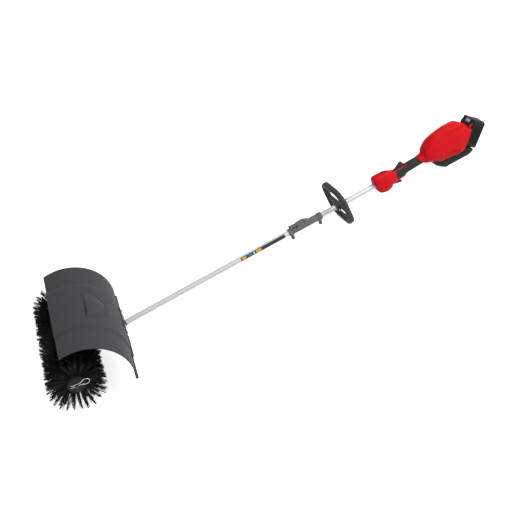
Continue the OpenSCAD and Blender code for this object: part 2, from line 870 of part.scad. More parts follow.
// Spring clip: one leg through the axle, a round end and a return leg over the axle
module hairpin() {
    wire = hairpin_d / 2;
    bend = (axle_d / 2 + hairpin_d) / 2;
    leg = hairpin_leg + hairpin_out;
    color("silver") translate([0, hairpin_y, 0]) rotate([0, -hairpin_turn, 0]) {
        translate([-hairpin_leg / 2, 0, 0]) rotate([0, 90, 0]) cylinder(r = wire, h = leg);
        translate([hairpin_leg / 2 + hairpin_out, 0, bend]) rotate([90, 0, 0])
            rotate_extrude(angle = 180, start = -90) translate([bend, 0]) circle(wire);
        translate([-hairpin_leg / 2, 0, 2 * bend]) rotate([0, 90, 0]) cylinder(r = wire, h = leg);
    }
}

module hairpin_right() at_head() hairpin();

module hairpin_left() at_head() mirror([0, 1, 0]) hairpin();

// Drive line
module worm() {
    root_r = worm_pitch_r - gear_dedendum;
    axial_half = function (r)
        (PI * gear_module / 4 - gear_backlash) / cos(head_angle) - (r - worm_pitch_r) * tan(flank_angle);
    spread = function (r) axial_half(r) / worm_lead * 360;
    turn = 360 * worm_len / worm_lead;
    start_a = 360 / worm_starts;
    gap_a = start_a / 2;
    foot_a = mix(spread(root_r), gap_a, 1 / 2);
    color("#8c8f92") at_worm() difference() {
        union() {
            translate([0, 0, -worm_len / 2]) rotate([0, 0, turn / 2])
                linear_extrude(worm_len, twist = turn, slices = worm_slices) polygon([
                    for (s = [0 : worm_starts - 1]) let (a = 180 + s * start_a) each [
                        turned(root_r, a - gap_a), turned(root_r, a - foot_a),
                        turned(root_r, a - spread(root_r)), turned(worm_pitch_r, a - spread(worm_pitch_r)),
                        turned(worm_tip_r, a - spread(worm_tip_r)), turned(worm_tip_r, a),
                        turned(worm_tip_r, a + spread(worm_tip_r)),
                        turned(worm_pitch_r, a + spread(worm_pitch_r)),
                        turned(root_r, a + spread(root_r)), turned(root_r, a + foot_a)
                    ]
                ]);
        }
        translate([0, 0, -worm_len]) cylinder(r = drive_r + run_gap, h = 2 * worm_len);
    }
}

module lower_drive_shaft() {
    start = head_x - tunnel_half + seal_w / 2;
    square_x = coupler_mid_x - socket_half / 2 - square_len;
    color("#a7aaad") {
        along_x(start, drive_r, square_x - start);
        translate([square_x, -square_side / 2, shaft_z - square_side / 2])
            cube([square_len, square_side, square_side]);
    }
}

module drive_socket() {
    start = coupler_mid_x - socket_half / 2 - square_len + seat_gap;
    color("#77797b") difference() {
        along_x(start, socket_r, 3 * socket_half / 2 + square_len);
        translate([coupler_mid_x, 0, shaft_z])
            cube([socket_len * 2, square_side + run_gap, square_side + run_gap], center = true);
        along_x(coupler_mid_x + socket_half / 2, drive_r + run_gap, socket_len);
    }
}

module upper_drive_shaft() {
    start = coupler_mid_x + socket_half / 2;
    joint_x = mount_x - sleeve_joint_len - fan_len;
    color("#a7aaad") {
        along_x(start, drive_r, joint_x - start);
        along_x(joint_x - sleeve_joint_len / 2, sleeve_joint_r, sleeve_joint_len / 2);
        ring_x(joint_x, sleeve_joint_r, drive_r + run_gap, sleeve_joint_len / 2);
    }
}

module motor_rotor() {
    start = mount_x - sleeve_joint_len - fan_len;
    color("#6b6e71") {
        along_x(start, drive_r, stator_len + 2 * mount_thick + 2 * motor_bearing_w + mount_x - start);
        along_x(mount_x + mount_thick + rotor_gap, rotor_r, stator_len - 2 * rotor_gap);
    }
}

module cooling_fan() {
    color("#202224") translate([mount_x - fan_len - motor_bearing_w, 0, shaft_z]) rotate([0, 90, 0])
        linear_extrude(fan_len) difference() {
            union() {
                circle(fan_hub_r);
                for (i = [0 : fan_blades - 1]) rotate(360 * i / fan_blades)
                    translate([fan_hub_r - blade_thick, -blade_thick / 2])
                        square([fan_r - fan_hub_r, blade_thick]);
            }
            circle(drive_r + run_gap);
        }
}

// Shaft tubes and coupler
module lower_tube() {
    start = head_x + tunnel_half + tube_stop;
    color("#d7d9db") difference() {
        ring_x(start, tube_r, tube_bore_r, coupler_mid_x - start);
        translate([plunger_x, 0, shaft_z]) cylinder(r = plunger_r + slide_gap, h = tube_d);
    }
}

module bush(x) {
    ring_x(x, tube_bore_r - run_gap, drive_r + run_gap, bush_len);
}

module shaft_bushes() {
    lower_first = head_x + tunnel_half + tube_stop + bush_len;
    lower_last = coupler_x - bush_len;
    upper_first = coupler_x + coupler_len;
    upper_last = tube_end_x - 2 * bush_len;
    color("#e3dfd2") for (t = [0, 1 / 2, 1]) {
        bush(mix(lower_first, lower_last, t));
        bush(mix(upper_first, upper_last, t));
    }
}

module upper_tube() {
    start = coupler_mid_x + slide_gap;
    color("#d7d9db") ring_x(start, tube_r, tube_bore_r, tube_end_x - start);
}

module boss_places() {
    for (t = boss_shares)
        translate([coupler_x + t * coupler_len, 0, shaft_z]) children();
}

module coupler_body() {
    color("#6b6b6b") difference() {
        union() {
            along_x(coupler_x, coupler_d / 2, coupler_len);
            boss_places() translate([0, 0, -boss_drop]) cylinder(r = boss_r, h = boss_drop);
            for (s = [0, 1]) mirror([0, s, 0])
                translate([lever_pin_x, lever_w / 2 + slide_gap + cheek_wall, shaft_z]) rotate([90, 0, 0])
                    linear_extrude(cheek_wall) polygon([
                        [-cheek_front, 0], [cheek_back, 0], [cheek_back / 2, cheek_top],
                        [lever_step - cheek_front, cheek_top], [-cheek_front, cheek_top * 2 / 3]
                    ]);
        }
        along_x(coupler_x - over, tube_r + run_gap, coupler_len + 2 * over);
        at_lever_pin() cylinder(r = lever_pin_r, h = lever_w * 2, center = true);
        translate([plunger_x, 0, shaft_z]) cylinder(r = plunger_r + run_gap, h = coupler_d);
        boss_places() translate([0, 0, -boss_drop - over]) cylinder(r = bolt_r, h = boss_drop - tube_r);
        translate([coupler_x - over, -lever_w / 2 - slide_gap, shaft_z + lever_flat])
            cube([lever_back + lever_eye_r + over, lever_w + 2 * slide_gap, coupler_d]);
    }
}

module coupler_bolts() {
    color("#151617") boss_places() {
        translate([0, 0, -boss_drop - bolt_tip]) cylinder(r = boss_r - slide_gap, h = bolt_tip);
        translate([0, 0, -boss_drop])
            cylinder(r = bolt_r - run_gap, h = boss_drop - tube_r - over - slide_gap);
    }
}

module at_lever_pin() {
    translate([lever_pin_x, 0, shaft_z + lever_pin_z]) rotate([90, 0, 0]) children();
}

module lever_pin() {
    pin_len = lever_w + 2 * cheek_wall + 2 * slide_gap;
    color("silver") at_lever_pin() cylinder(r = lever_pin_r - run_gap / 2, h = pin_len, center = true);
}

module coupler_lever() {
    low = lever_flat + slide_gap * 2;
    front_x = coupler_x + lever_front;
    color("#5d5e60") difference() {
        union() {
            translate([0, lever_w / 2, shaft_z]) rotate([90, 0, 0]) linear_extrude(lever_w) polygon([
                [front_x, lever_finger_z], [front_x + lever_finger, lever_finger_z],
                [front_x + lever_finger + lever_step, low], [lever_pin_x, low],
                [lever_pin_x, lever_pin_z + lever_eye_r], [front_x + lever_step, lever_top],
                [front_x, mix(lever_finger_z, lever_top, 2 / 3)]
            ]);
            at_lever_pin() cylinder(r = lever_eye_r, h = lever_w, center = true);
        }
        at_lever_pin() cylinder(r = lever_pin_r, h = lever_w * 2, center = true);
    }
}

module lock_plunger() {
    low = tube_r - plunger_bite;
    color("#c9ccce") translate([plunger_x, 0, shaft_z + low])
        cylinder(r = plunger_r, h = lever_flat + slide_gap - low);
}

// Front handle
module loop_ring(extra, len) {
    height = loop_up + loop_low;
    translate([loop_x, 0, shaft_z]) rotate([0, -loop_rake, 0])
        translate([-len / 2, 0, (loop_up - loop_low) / 2]) rotate([90, 0, 90]) linear_extrude(len)
            rounded_rect(loop_w + extra, height + extra, loop_corner + extra / 2);
}

module loop_bolt_places() {
    for (s = [-1, 1], t = [-1, 1])
        translate([loop_x + t * hub_len / 4, s * loop_bolt_y, shaft_z]) children();
}

module loop_handle() {
    color("#303230") difference() {
        union() {
            difference() {
                loop_ring(loop_thick, loop_band);
                loop_ring(-loop_thick, loop_band * 3);
            }
            intersection() {
                loop_ring(0, loop_band * 4);
                translate([loop_x - loop_band / 2, -loop_w / 2, shaft_z + slide_gap])
                    cube([loop_band, loop_w, bar_h]);
            }
            intersection() {
                along_x(loop_x - hub_len / 2, hub_r, hub_len);
                translate([loop_x - hub_len, -hub_r, shaft_z + slide_gap])
                    cube([2 * hub_len, 2 * hub_r, hub_r]);
            }
        }
        along_x(loop_x - hub_len, tube_r + run_gap, 2 * hub_len);
        loop_bolt_places() cylinder(r = loop_bolt_r + run_gap, h = hub_r * 2);
    }
}

module loop_clamp() {
    color("#2a2c2b") difference() {
        along_x(loop_x - hub_len / 2, hub_r, hub_len);
        translate([loop_x - hub_len, -2 * hub_r, shaft_z - slide_gap])
            cube([2 * hub_len, 4 * hub_r, 2 * hub_r]);
        along_x(loop_x - hub_len, tube_r + run_gap, 2 * hub_len);
        loop_bolt_places() translate([0, 0, -2 * hub_r]) cylinder(r = loop_bolt_r + run_gap, h = 4 * hub_r);
        loop_bolt_places() translate([0, 0, -3 * hub_r])
            cylinder(r = loop_bolt_head_r + slide_gap, h = 3 * hub_r - bar_h / 2);
    }
}

module loop_bolts() {
    color("#8a8d90") loop_bolt_places() {
        translate([0, 0, -bar_h / 2 - loop_bolt_head]) cylinder(r = loop_bolt_head_r, h = loop_bolt_head);
        translate([0, 0, -bar_h / 2]) cylinder(r = loop_bolt_r, h = bar_h);
    }
}

// Power head shells
function in_grip(i) = i >= grip_first && i <= grip_last;
function shell_inset(i) = in_grip(i) ? sleeve_wall + seat_gap : 0;

outer_lines = concat(
    [round_line(nose_x, nose_hole_r)],
    [for (i = [0 : len(housing_rows) - 1]) half_line(housing_rows[i], shell_inset(i))]
);
inner_lines = concat(
    [round_line(nose_x + shell_wall, nose_hole_r)],
    [for (i = [0 : len(housing_rows) - 1])
        let (line = half_line(housing_rows[i], shell_inset(i) + shell_wall))
        i > 1 ? line : [for (p = line) [p[0] + shell_wall / (i + 1), p[1], p[2]]]]
);

module boss_spots() {
    for (s = screw_places_shares) {
        x = mix(nose_x, tail_x, s[0]);
        row = row_at(x, housing_rows);
        z = s[1] > 0 ? s[1] * row[1] : -s[1] * row[2];
        translate([x, 0, shaft_z + z]) rotate([-90, 0, 0])
            cylinder(r = screw_boss_r, h = reach_y(row, z, shell_wall * boss_sink_share));
    }
}

module screw_spots(r) {
    for (s = screw_places_shares) {
        x = mix(nose_x, tail_x, s[0]);
        row = row_at(x, housing_rows);
        z = s[1] > 0 ? s[1] * row[1] : -s[1] * row[2];
        len = reach_y(row, z, shell_wall) * screw_grip_share;
        translate([x, 0, shaft_z + z]) rotate([90, 0, 0]) cylinder(r = r, h = 2 * len, center = true);
    }
}

module housing_cuts() {
    translate([trigger_pivot_x - trigger_w / 2, -trigger_w / 2 - slide_gap, shaft_z - 2 * nose_low])
        cube([trigger_len + trigger_w / 2, trigger_w + 2 * slide_gap,
            2 * nose_low - trigger_pivot_drop / 2]);
    translate([lockoff_pivot_x - lockoff_w, -lockoff_w / 2 - slide_gap, shaft_z + drive_d])
        cube([lockoff_len + lockoff_w + lockoff_w / 2, lockoff_w + 2 * slide_gap, nose_low]);
    speed_slot = speed_len + 2 * speed_travel + 2 * slide_gap;
    translate([speed_x - speed_slot / 2, -speed_w / 2 - slide_gap, shaft_z + nose_top / 2])
        cube([speed_slot, speed_w + 2 * slide_gap, nose_top]);
    at_slide() slab([-battery_foot - neck_back, -neck_w / 2 - slide_gap, -neck_h],
        [2 * battery_len, neck_w / 2 + slide_gap, neck_h + slide_gap]);
}

module housing_half() {
    difference() {
        union() {
            half_shell(outer_lines, inner_lines);
            boss_spots();
        }
        screw_spots(screw_r);
        housing_cuts();
    }
}

module housing_right() color("#d01a24") housing_half();

module housing_left() color("#d01a24") mirror([0, 1, 0]) housing_half();

module housing_screws() {
    color("#6e7174") screw_spots(screw_r - run_gap);
}

module grip_sleeve() {
    rows = [for (i = [grip_first : grip_last]) housing_rows[i]];
    color("#343836") difference() {
        ring_tube(
            [for (r = rows) whole_ring(half_line(r, 0))],
            [for (r = rows) whole_ring(half_line(r, sleeve_wall))]
        );
        translate([grip_front_x - over, -grip_w, shaft_z - 2 * pod_low])
            cube([pod_end_x - grip_front_x + 2 * sleeve_wall, 2 * grip_w,
                2 * pod_low - grip_low - sleeve_wall]);
        translate([grip_front_x - over, -lockoff_w, shaft_z + drive_d])
            cube([lockoff_pivot_x + lockoff_len + lockoff_w - grip_front_x, 2 * lockoff_w, nose_low]);
    }
}

// Inside the power head
module bulkhead(x, thick) {
    rows = [row_at(x, housing_rows), row_at(x + thick, housing_rows)];
    ring_solid([for (r = rows) whole_ring(half_line(r, shell_wall + seat_gap))]);
}

module motor_mount() {
    color("#55585b") difference() {
        bulkhead(mount_x, mount_thick);
        along_x(mount_x - over, motor_bearing_r, mount_thick + 2 * over);
    }
}

module motor_stator() {
    color("#a65a2a") ring_x(mount_x + mount_thick, stator_r, rotor_r + rotor_gap, stator_len);
}

module motor_cover() {
    rear = mount_x + mount_thick + stator_len;
    bore_r = stator_r + seat_gap;
    color("#3b3e41") difference() {
        union() {
            ring_x(mount_x + mount_thick, bore_r + motor_cover_wall, bore_r, stator_len);
            along_x(rear, bore_r + motor_cover_wall, mount_thick + motor_bearing_w);
        }
        along_x(rear - over, motor_bearing_r, mount_thick + motor_bearing_w + 2 * over);
        along_x(rear - over, stator_r, mount_thick + over);
    }
}

module motor_bearings() {
    rear = mount_x + mount_thick + stator_len + mount_thick;
    color("silver") {
        ring_x(mount_x, motor_bearing_r - run_gap, drive_r + run_gap, mount_thick);
        ring_x(rear, motor_bearing_r - run_gap, drive_r + run_gap, motor_bearing_w);
    }
}

module control_board() {
    start = mount_x + mount_thick;
    color("#1f5d33") {
        translate([start, -board_w / 2, shaft_z + board_z]) cube([board_len, board_w, board_thick]);
        for (s = [-1, 1])
            translate([start + board_len / 4, s * board_w / 4 - chip_h, shaft_z + board_z + board_thick])
                cube([board_len / 3, 2 * chip_h, chip_h]);
    }
}

module battery_dock() {
    inner = neck_w / 2 + slide_gap;
    low = -battery_foot - neck_back;
    color("#1e2022") at_slide() {
        difference() {
            slab([low - dock_wall, -inner - dock_wall, -battery_gap],
                [low + dock_len, inner + dock_wall, neck_h + slide_gap + dock_wall]);
            slab([low, -inner, -neck_h], [2 * battery_len, inner, neck_h + slide_gap]);
        }
        for (i = [-1, 0, 1])
            translate([low + dock_wall, i * terminal_pitch, neck_h + slide_gap - terminal_h])
                translate([0, -terminal_w / 2, 0]) cube([terminal_len, terminal_w, terminal_h + over]);
    }
}

// The housing's outside as one solid, a little larger by the grow given
module housing_envelope(grow) {
    ring_solid([for (r = body_rows) whole_ring(half_line(r, -grow))]);
}

module skid_rail() {
    half = rail_len / 2;
    wide = rail_w / 2 + rail_flare;
    belly = shaft_z - body_low;
    color("#2f3331") difference() {
        intersection() {
            translate([0, wide, 0]) rotate([90, 0, 0]) linear_extrude(2 * wide) polygon([
                [-half, 0], [half, 0], [half + rail_tail, rail_tail_z], [half + rail_tail, rail_tail_h],
                [half - rail_tail, belly + rail_web], [-half, belly + rail_web * 3],
                [-half - rail_toe, rail_toe_z + rail_toe_h], [-half - rail_toe, rail_toe_z]
            ]);
            translate([-rail_len, 0, 0]) rotate([90, 0, 90]) linear_extrude(2 * rail_len) polygon([
                [-rail_w / 2, 0], [rail_w / 2, 0], [wide, belly],
                [wide, shaft_z], [-wide, shaft_z], [-wide, belly]
            ]);
        }
        housing_envelope(slide_gap + seat_gap);
        at_slide()
            slab([-battery_foot - neck_back, -battery_w, -2 * battery_h], [battery_len, battery_w, 0]);
    }
}

// Trigger, lock-off lever and speed switch
module trigger() {
    px = trigger_pivot_x;
    color("#1f2122") difference() {
        translate([0, trigger_w / 2, shaft_z]) rotate([90, 0, 0]) linear_extrude(trigger_w)
            polygon([for (t = trigger_shares) [px + t[0] * trigger_len, -t[1] * trigger_drop]]);
        translate([px, 0, shaft_z - trigger_pivot_drop]) rotate([90, 0, 0])
            cylinder(r = pivot_pin_r + run_gap, h = trigger_w * 2, center = true);
    }
}

module pivot_pin(x, z) {
    half = min([
        for (dx = [-pivot_pin_r, pivot_pin_r], dz = [-pivot_pin_r, pivot_pin_r])
            reach_y(row_at(x + dx, housing_rows), z + dz, shell_wall + sleeve_wall + 2 * seat_gap)
    ]);
    translate([x, 0, shaft_z + z]) rotate([90, 0, 0])
        cylinder(r = pivot_pin_r, h = 2 * half, center = true);
}

module pivot_pins() {
    color("silver") {
        pivot_pin(trigger_pivot_x, -trigger_pivot_drop);
        pivot_pin(lockoff_pivot_x, lockoff_pivot_up);
    }
}

module trigger_switch() {
    low = -pod_low + sleeve_wall + seat_gap + shell_wall;
    color("#2b2d2f") translate([pod_end_x - switch_len, -switch_w / 2, shaft_z + mix(low, -drive_r, 1 / 3)])
        cube([switch_len, switch_w, switch_h]);
}

module lockoff_lever() {
    px = lockoff_pivot_x;
    color("#1f2122") difference() {
        translate([0, lockoff_w / 2, shaft_z]) rotate([90, 0, 0]) linear_extrude(lockoff_w)
            polygon([for (t = lockoff_shares) [px + t[0] * lockoff_len, t[1] * lockoff_rise]]);
        translate([px, 0, shaft_z + lockoff_pivot_up]) rotate([90, 0, 0])
            cylinder(r = pivot_pin_r + run_gap, h = lockoff_w * 2, center = true);
    }
}

module speed_switch() {
    row = row_at(speed_x, housing_rows);
    roof = row[1] - shell_wall - seat_gap;
    color("#1a1b1c") translate([speed_x, 0, shaft_z + roof]) {
        translate([-speed_len / 2, -speed_w / 2, -speed_plate * 4])
            cube([speed_len, speed_w, speed_plate * 4 + shell_wall + speed_proud]);
        translate([-speed_len * 3 / 4, -speed_w * 3 / 4, -speed_plate * 4])
            cube([speed_len * 3 / 2, speed_w * 3 / 2, speed_plate]);
    }
}

// Side outline across the slide, of a width given
module wedge(width, outline) {
    translate([0, width / 2, 0]) rotate([90, 0, 0]) linear_extrude(width) polygon(outline);
}

// Battery
module battery_case() {
    bottom = -battery_gap - lid_thick - battery_h;
    color("#303331") at_slide() translate([battery_len / 2 - battery_foot, 0, bottom]) difference() {
        linear_extrude(battery_h) rounded_rect(battery_len, battery_w, case_corner);
        translate([0, 0, case_skin]) linear_extrude(battery_h)
            rounded_rect(battery_len - 2 * case_skin, battery_w - 2 * case_skin, case_corner - case_skin);
    }
}

module battery_cap() {
    low = -battery_foot - neck_back + slide_gap;
    foot = -battery_gap - over;
    end = battery_len - battery_foot;
    color("#26292a") at_slide() difference() {
        union() {
            translate([battery_len / 2 - battery_foot, 0, -battery_gap - lid_thick])
                linear_extrude(lid_thick) rounded_rect(battery_len, battery_w, case_corner);
            wedge(neck_w, [
                [low, foot], [end, foot], [end, neck_lip], [end - neck_slope, neck_h], [low, neck_h]
            ]);
            wedge(shoulder_w, [
                [end - shoulder_len, foot], [end, foot], [end, neck_lip], [end - shoulder_len, shoulder_h]
            ]);
        }
        for (i = [-1, 0, 1])
            slab([low - over, i * terminal_pitch - terminal_w, neck_h - terminal_h - slide_gap],
                [low + dock_wall + terminal_len + over, i * terminal_pitch + terminal_w, neck_h + over]);
        for (s = [0, 1]) mirror([0, s, 0])
            button_shape(slide_gap, neck_w / 2 - button_depth - 2 * button_proud, neck_w);
    }
}

module battery_cells() {
    color("#4d7fb3") at_slide()
        for (i = [0 : cells_long - 1], j = [0, 1])
            translate([battery_len / 2 - battery_foot + (i - (cells_long - 1) / 2) * cell_pitch, 0,
                -battery_gap - lid_thick - battery_h + case_skin + seat_gap + cell_r + j * cell_pitch])
                rotate([90, 0, 0]) cylinder(r = cell_r, h = cell_len, center = true);
}

// Release button's outline from one Y to another, grown all round by a clearance
module button_shape(grow, y0, y1) {
    translate([0, y0, 0]) rotate([-90, 0, 0]) linear_extrude(y1 - y0) polygon([
        for (t = button_shares) [
            button_u - grow + t[0] * (button_len + 4 * grow),
            -button_top + grow - t[1] * (button_h + 4 * grow)
        ]
    ]);
}

module release_button() {
    at_slide() button_shape(0, neck_w / 2 - button_depth, neck_w / 2 + button_proud);
}

module release_right() color("#d01a24") release_button();

module release_left() color("#d01a24") mirror([0, 1, 0]) release_button();

hood();
tube_flange();
hood_bracket();
hood_bolts();
gear_case();
gear_cover();
cover_screws();
worm_cap();
axle_bearings();
axle_seals();
worm_bearings();
brush_axle();
worm_wheel();
brush_core_left();
brush_core_right();
bristles_left();
bristles_right();
hub_cap_left();
hub_cap_right();
hairpin_left();
hairpin_right();
worm();
lower_drive_shaft();
drive_socket();
upper_drive_shaft();
motor_rotor();
cooling_fan();
lower_tube();
shaft_bushes();
coupler_body();
coupler_bolts();
lever_pin();
coupler_lever();
lock_plunger();
upper_tube();
loop_handle();
loop_clamp();
loop_bolts();
housing_left();
housing_right();
housing_screws();
grip_sleeve();
motor_mount();
motor_stator();
motor_cover();
motor_bearings();
control_board();
battery_dock();
skid_rail();
trigger();
pivot_pins();
trigger_switch();
lockoff_lever();
speed_switch();
battery_case();
battery_cap();
battery_cells();
release_left();
release_right();
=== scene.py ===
import math
import random
from collections import Counter

import bmesh
import bpy
from mathutils import Matrix, Vector


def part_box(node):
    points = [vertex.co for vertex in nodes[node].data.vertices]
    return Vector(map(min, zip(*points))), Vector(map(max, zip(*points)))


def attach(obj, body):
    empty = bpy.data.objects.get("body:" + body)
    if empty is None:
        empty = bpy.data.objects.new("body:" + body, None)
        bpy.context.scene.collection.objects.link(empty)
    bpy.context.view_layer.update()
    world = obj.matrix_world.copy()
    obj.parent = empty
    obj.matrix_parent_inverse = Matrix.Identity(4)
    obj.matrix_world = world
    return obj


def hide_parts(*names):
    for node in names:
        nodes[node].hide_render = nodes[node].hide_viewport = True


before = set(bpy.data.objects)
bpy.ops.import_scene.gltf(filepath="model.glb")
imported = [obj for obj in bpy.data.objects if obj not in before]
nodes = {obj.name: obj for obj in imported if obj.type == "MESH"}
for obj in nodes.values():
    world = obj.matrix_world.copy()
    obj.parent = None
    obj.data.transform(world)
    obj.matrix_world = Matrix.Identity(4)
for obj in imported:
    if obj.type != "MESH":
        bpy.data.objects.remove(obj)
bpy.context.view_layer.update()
random.seed(11)
print("stage: frame loaded,", len(nodes), "nodes")

mm = 0.001
limits = dict(merge=.01, spun=.005, skin=.02,         # points nearer than this are joined, in mm
              flat=math.radians(.6))                  # and faces that bend less are one
layout = {
    "headAngle": math.radians(13),      # roller off square to the shaft
    "batterySlope": math.radians(52),   # slide of the battery above the ground
    "tail": 56,                         # rear end of the housing, mm
    "seatDrop": 3,                      # slide's middle below the shaft, mm
}
tubeLow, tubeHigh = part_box("lower_tube")
shaftZ = (tubeLow.z + tubeHigh.z) / 2
tubeRadius = (tubeHigh.z - tubeLow.z) / 2
axleLow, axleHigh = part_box("brush_axle")
rollerMiddle = Vector(((axleLow.x + axleHigh.x) / 2, 0, (axleLow.z + axleHigh.z) / 2))
headFrame = Matrix.Translation(rollerMiddle) @ Matrix.Rotation(-layout["headAngle"], 4, "Z")
shaftFrame = Matrix.Translation((0, 0, shaftZ))
slideFrame = (Matrix.Translation((layout["tail"] * mm, 0, shaftZ - layout["seatDrop"] * mm))
              @ Matrix.Rotation(-layout["batterySlope"], 4, "Y"))


# finishes: the two colours of the mottling, roughness range, grain size in mm and strength of the bumps
noise = dict(cloud=14, cloudDetail=4, grainDetail=3, low=.3, high=.7, deep=.3, spec=.4)
finishes = {
    "hoodPlastic": dict(
        base=(.044, .045, .049), second=(.053, .054, .058),
        rough=(.6, .74), grain=1.6, bump=.16, spec=.22),
    "bristleFibre": dict(
        base=(.004, .004, .0045), second=(.014, .014, .015),
        rough=(.5, .7), grain=9, bump=.05, spec=.2),
    "tubeMetal": dict(
        base=(.55, .56, .57), second=(.65, .66, .67),
        rough=(.36, .48), grain=1.2, bump=.05, metal=.25, spec=.3, stretch=(.02, 1, 1)),
    "couplerPaint": dict(
        base=(.125, .125, .126), second=(.155, .155, .156),
        rough=(.5, .64), grain=1.4, bump=.14, spec=.25),
    "handlePlastic": dict(
        base=(.034, .036, .035), second=(.046, .048, .047),
        rough=(.54, .7), grain=1.3, bump=.2, spec=.25),
    "gripRubber": dict(
        base=(.020, .022, .0215), second=(.028, .030, .029),
        rough=(.64, .8), grain=1.1, bump=.3, spec=.2),
    "redPlastic": dict(
        base=(.58, .004, .008), second=(.64, .006, .012),
        rough=(.42, .54), grain=1.5, bump=.06, spec=.1),
    "batteryPlastic": dict(
        base=(.008, .0088, .0086), second=(.013, .0142, .0138),
        rough=(.54, .7), grain=1.4, bump=.18, spec=.14),
    "blackPlastic": dict(
        base=(.014, .014, .015), second=(.024, .024, .025),
        rough=(.46, .6), grain=1.5, bump=.14, spec=.25),
    "hubPlastic": dict(
        base=(.013, .014, .015), second=(.019, .020, .021),
        rough=(.5, .64), grain=1.5, bump=.14, spec=.25),
    "labelPanel": dict(
        base=(.003, .003, .0035), second=(.006, .006, .0065),
        rough=(.46, .58), grain=3, bump=.02, spec=.1),
    "gaugeGrey": dict(
        base=(.16, .16, .16), second=(.22, .22, .22),
        rough=(.4, .5), grain=2, bump=.05),
    "gaugeLight": dict(
        base=(.52, .53, .52), second=(.62, .63, .62),
        rough=(.3, .4), grain=2, bump=.02),
    "castMetal": dict(
        base=(.36, .37, .38), second=(.48, .49, .50),
        rough=(.42, .62), grain=2.4, bump=.35, metal=1),
    "brightSteel": dict(
        base=(.52, .53, .54), second=(.64, .65, .66),
        rough=(.18, .32), grain=1.5, bump=.05, metal=1),
    "blackSteel": dict(
        base=(.018, .018, .019), second=(.032, .032, .033),
        rough=(.36, .52), grain=1.6, bump=.12),
    "zincPlate": dict(
        base=(.40, .41, .42), second=(.52, .53, .55),
        rough=(.28, .44), grain=1.8, bump=.08, metal=1),
    "springWire": dict(
        base=(.74, .75, .76), second=(.84, .85, .86),
        rough=(.14, .24), grain=3, bump=.03, metal=1),
    "bronzeWheel": dict(
        base=(.46, .28, .10), second=(.56, .36, .15),
        rough=(.28, .42), grain=2, bump=.06, metal=1),
    "paleNylon": dict(
        base=(.62, .59, .50), second=(.70, .67, .59),
        rough=(.42, .56), grain=2, bump=.06),
    "copperCore": dict(
        base=(.30, .14, .06), second=(.42, .21, .10),
        rough=(.36, .5), grain=.9, bump=.3, metal=1, stretch=(8, 1, 1)),
    "boardGreen": dict(
        base=(.008, .09, .028), second=(.014, .13, .045),
        rough=(.3, .44), grain=4, bump=.05),
    "cellWrap": dict(
        base=(.045, .14, .34), second=(.06, .18, .42),
        rough=(.3, .42), grain=5, bump=.04),
    "stripBlack": dict(
        base=(.012, .012, .013), second=(.02, .02, .021),
        rough=(.28, .36), grain=2, bump=.03),
    "stripAmber": dict(
        base=(.60, .33, .02), second=(.68, .40, .04),
        rough=(.28, .36), grain=2, bump=.03),
    "stripPale": dict(
        base=(.62, .63, .64), second=(.70, .71, .72),
        rough=(.28, .36), grain=2, bump=.03),
    "stripBlue": dict(
        base=(.03, .14, .38), second=(.04, .17, .44),
        rough=(.28, .36), grain=2, bump=.03),
}
madeFinishes = {}


def finish(name):
    if name in madeFinishes:
        return madeFinishes[name]
    look = finishes[name]
    material = bpy.data.materials.new(name)
    material.use_nodes = True
    tree = material.node_tree
    shader = tree.nodes["Principled BSDF"]
    shader.inputs["Metallic"].default_value = look.get("metal", 0)
    shader.inputs["Specular IOR Level"].default_value = look.get("spec", noise["spec"])
    place = tree.nodes.new("ShaderNodeTexCoord")
    mapping = tree.nodes.new("ShaderNodeMapping")
    mapping.inputs["Scale"].default_value = look.get("stretch", (1, 1, 1))
    tree.links.new(place.outputs["Object"], mapping.inputs["Vector"])
    cloud = tree.nodes.new("ShaderNodeTexNoise")         # slow change of colour over the piece
    cloud.inputs["Scale"].default_value = 1 / (look["grain"] * noise["cloud"] * mm)
    cloud.inputs["Detail"].default_value = noise["cloudDetail"]
    grain = tree.nodes.new("ShaderNodeTexNoise")         # moulded or cast grain
    grain.inputs["Scale"].default_value = 1 / (look["grain"] * mm)
    grain.inputs["Detail"].default_value = noise["grainDetail"]
    for texture in (cloud, grain):
        tree.links.new(mapping.outputs["Vector"], texture.inputs["Vector"])
    colour = tree.nodes.new("ShaderNodeMix")
    colour.data_type = "RGBA"
    colour.inputs["A"].default_value = (*look["base"], 1)
    colour.inputs["B"].default_value = (*look["second"], 1)
    tree.links.new(cloud.outputs["Fac"], colour.inputs["Factor"])
    tree.links.new(colour.outputs["Result"], shader.inputs["Base Color"])
    rough = tree.nodes.new("ShaderNodeMapRange")
    rough.inputs["From Min"].default_value = noise["low"]
    rough.inputs["From Max"].default_value = noise["high"]
    rough.inputs["To Min"].default_value, rough.inputs["To Max"].default_value = look["rough"]
    tree.links.new(grain.outputs["Fac"], rough.inputs["Value"])
    tree.links.new(rough.outputs["Result"], shader.inputs["Roughness"])
    bump = tree.nodes.new("ShaderNodeBump")
    bump.inputs["Strength"].default_value = look["bump"]
    bump.inputs["Distance"].default_value = look["grain"] * noise["deep"] * mm
    tree.links.new(grain.outputs["Fac"], bump.inputs["Height"])
    tree.links.new(bump.outputs["Normal"], shader.inputs["Normal"])
    madeFinishes[name] = material
    return material


# shared modelling steps
def settle(name, mesh, look, body, stands=(), smooth=32):
    mesh.shade_smooth()
    mesh.set_sharp_from_angle(angle=math.radians(smooth))
    mesh.materials.clear()
    mesh.materials.append(finish(look))
    piece = bpy.data.objects.new(name, mesh)
    bpy.context.scene.collection.objects.link(piece)
    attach(piece, body)
    if stands:
        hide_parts(*stands)
    return piece


def mergePoints(bm, gap=limits["merge"]):
    bmesh.ops.remove_doubles(bm, verts=bm.verts[:], dist=gap * mm)


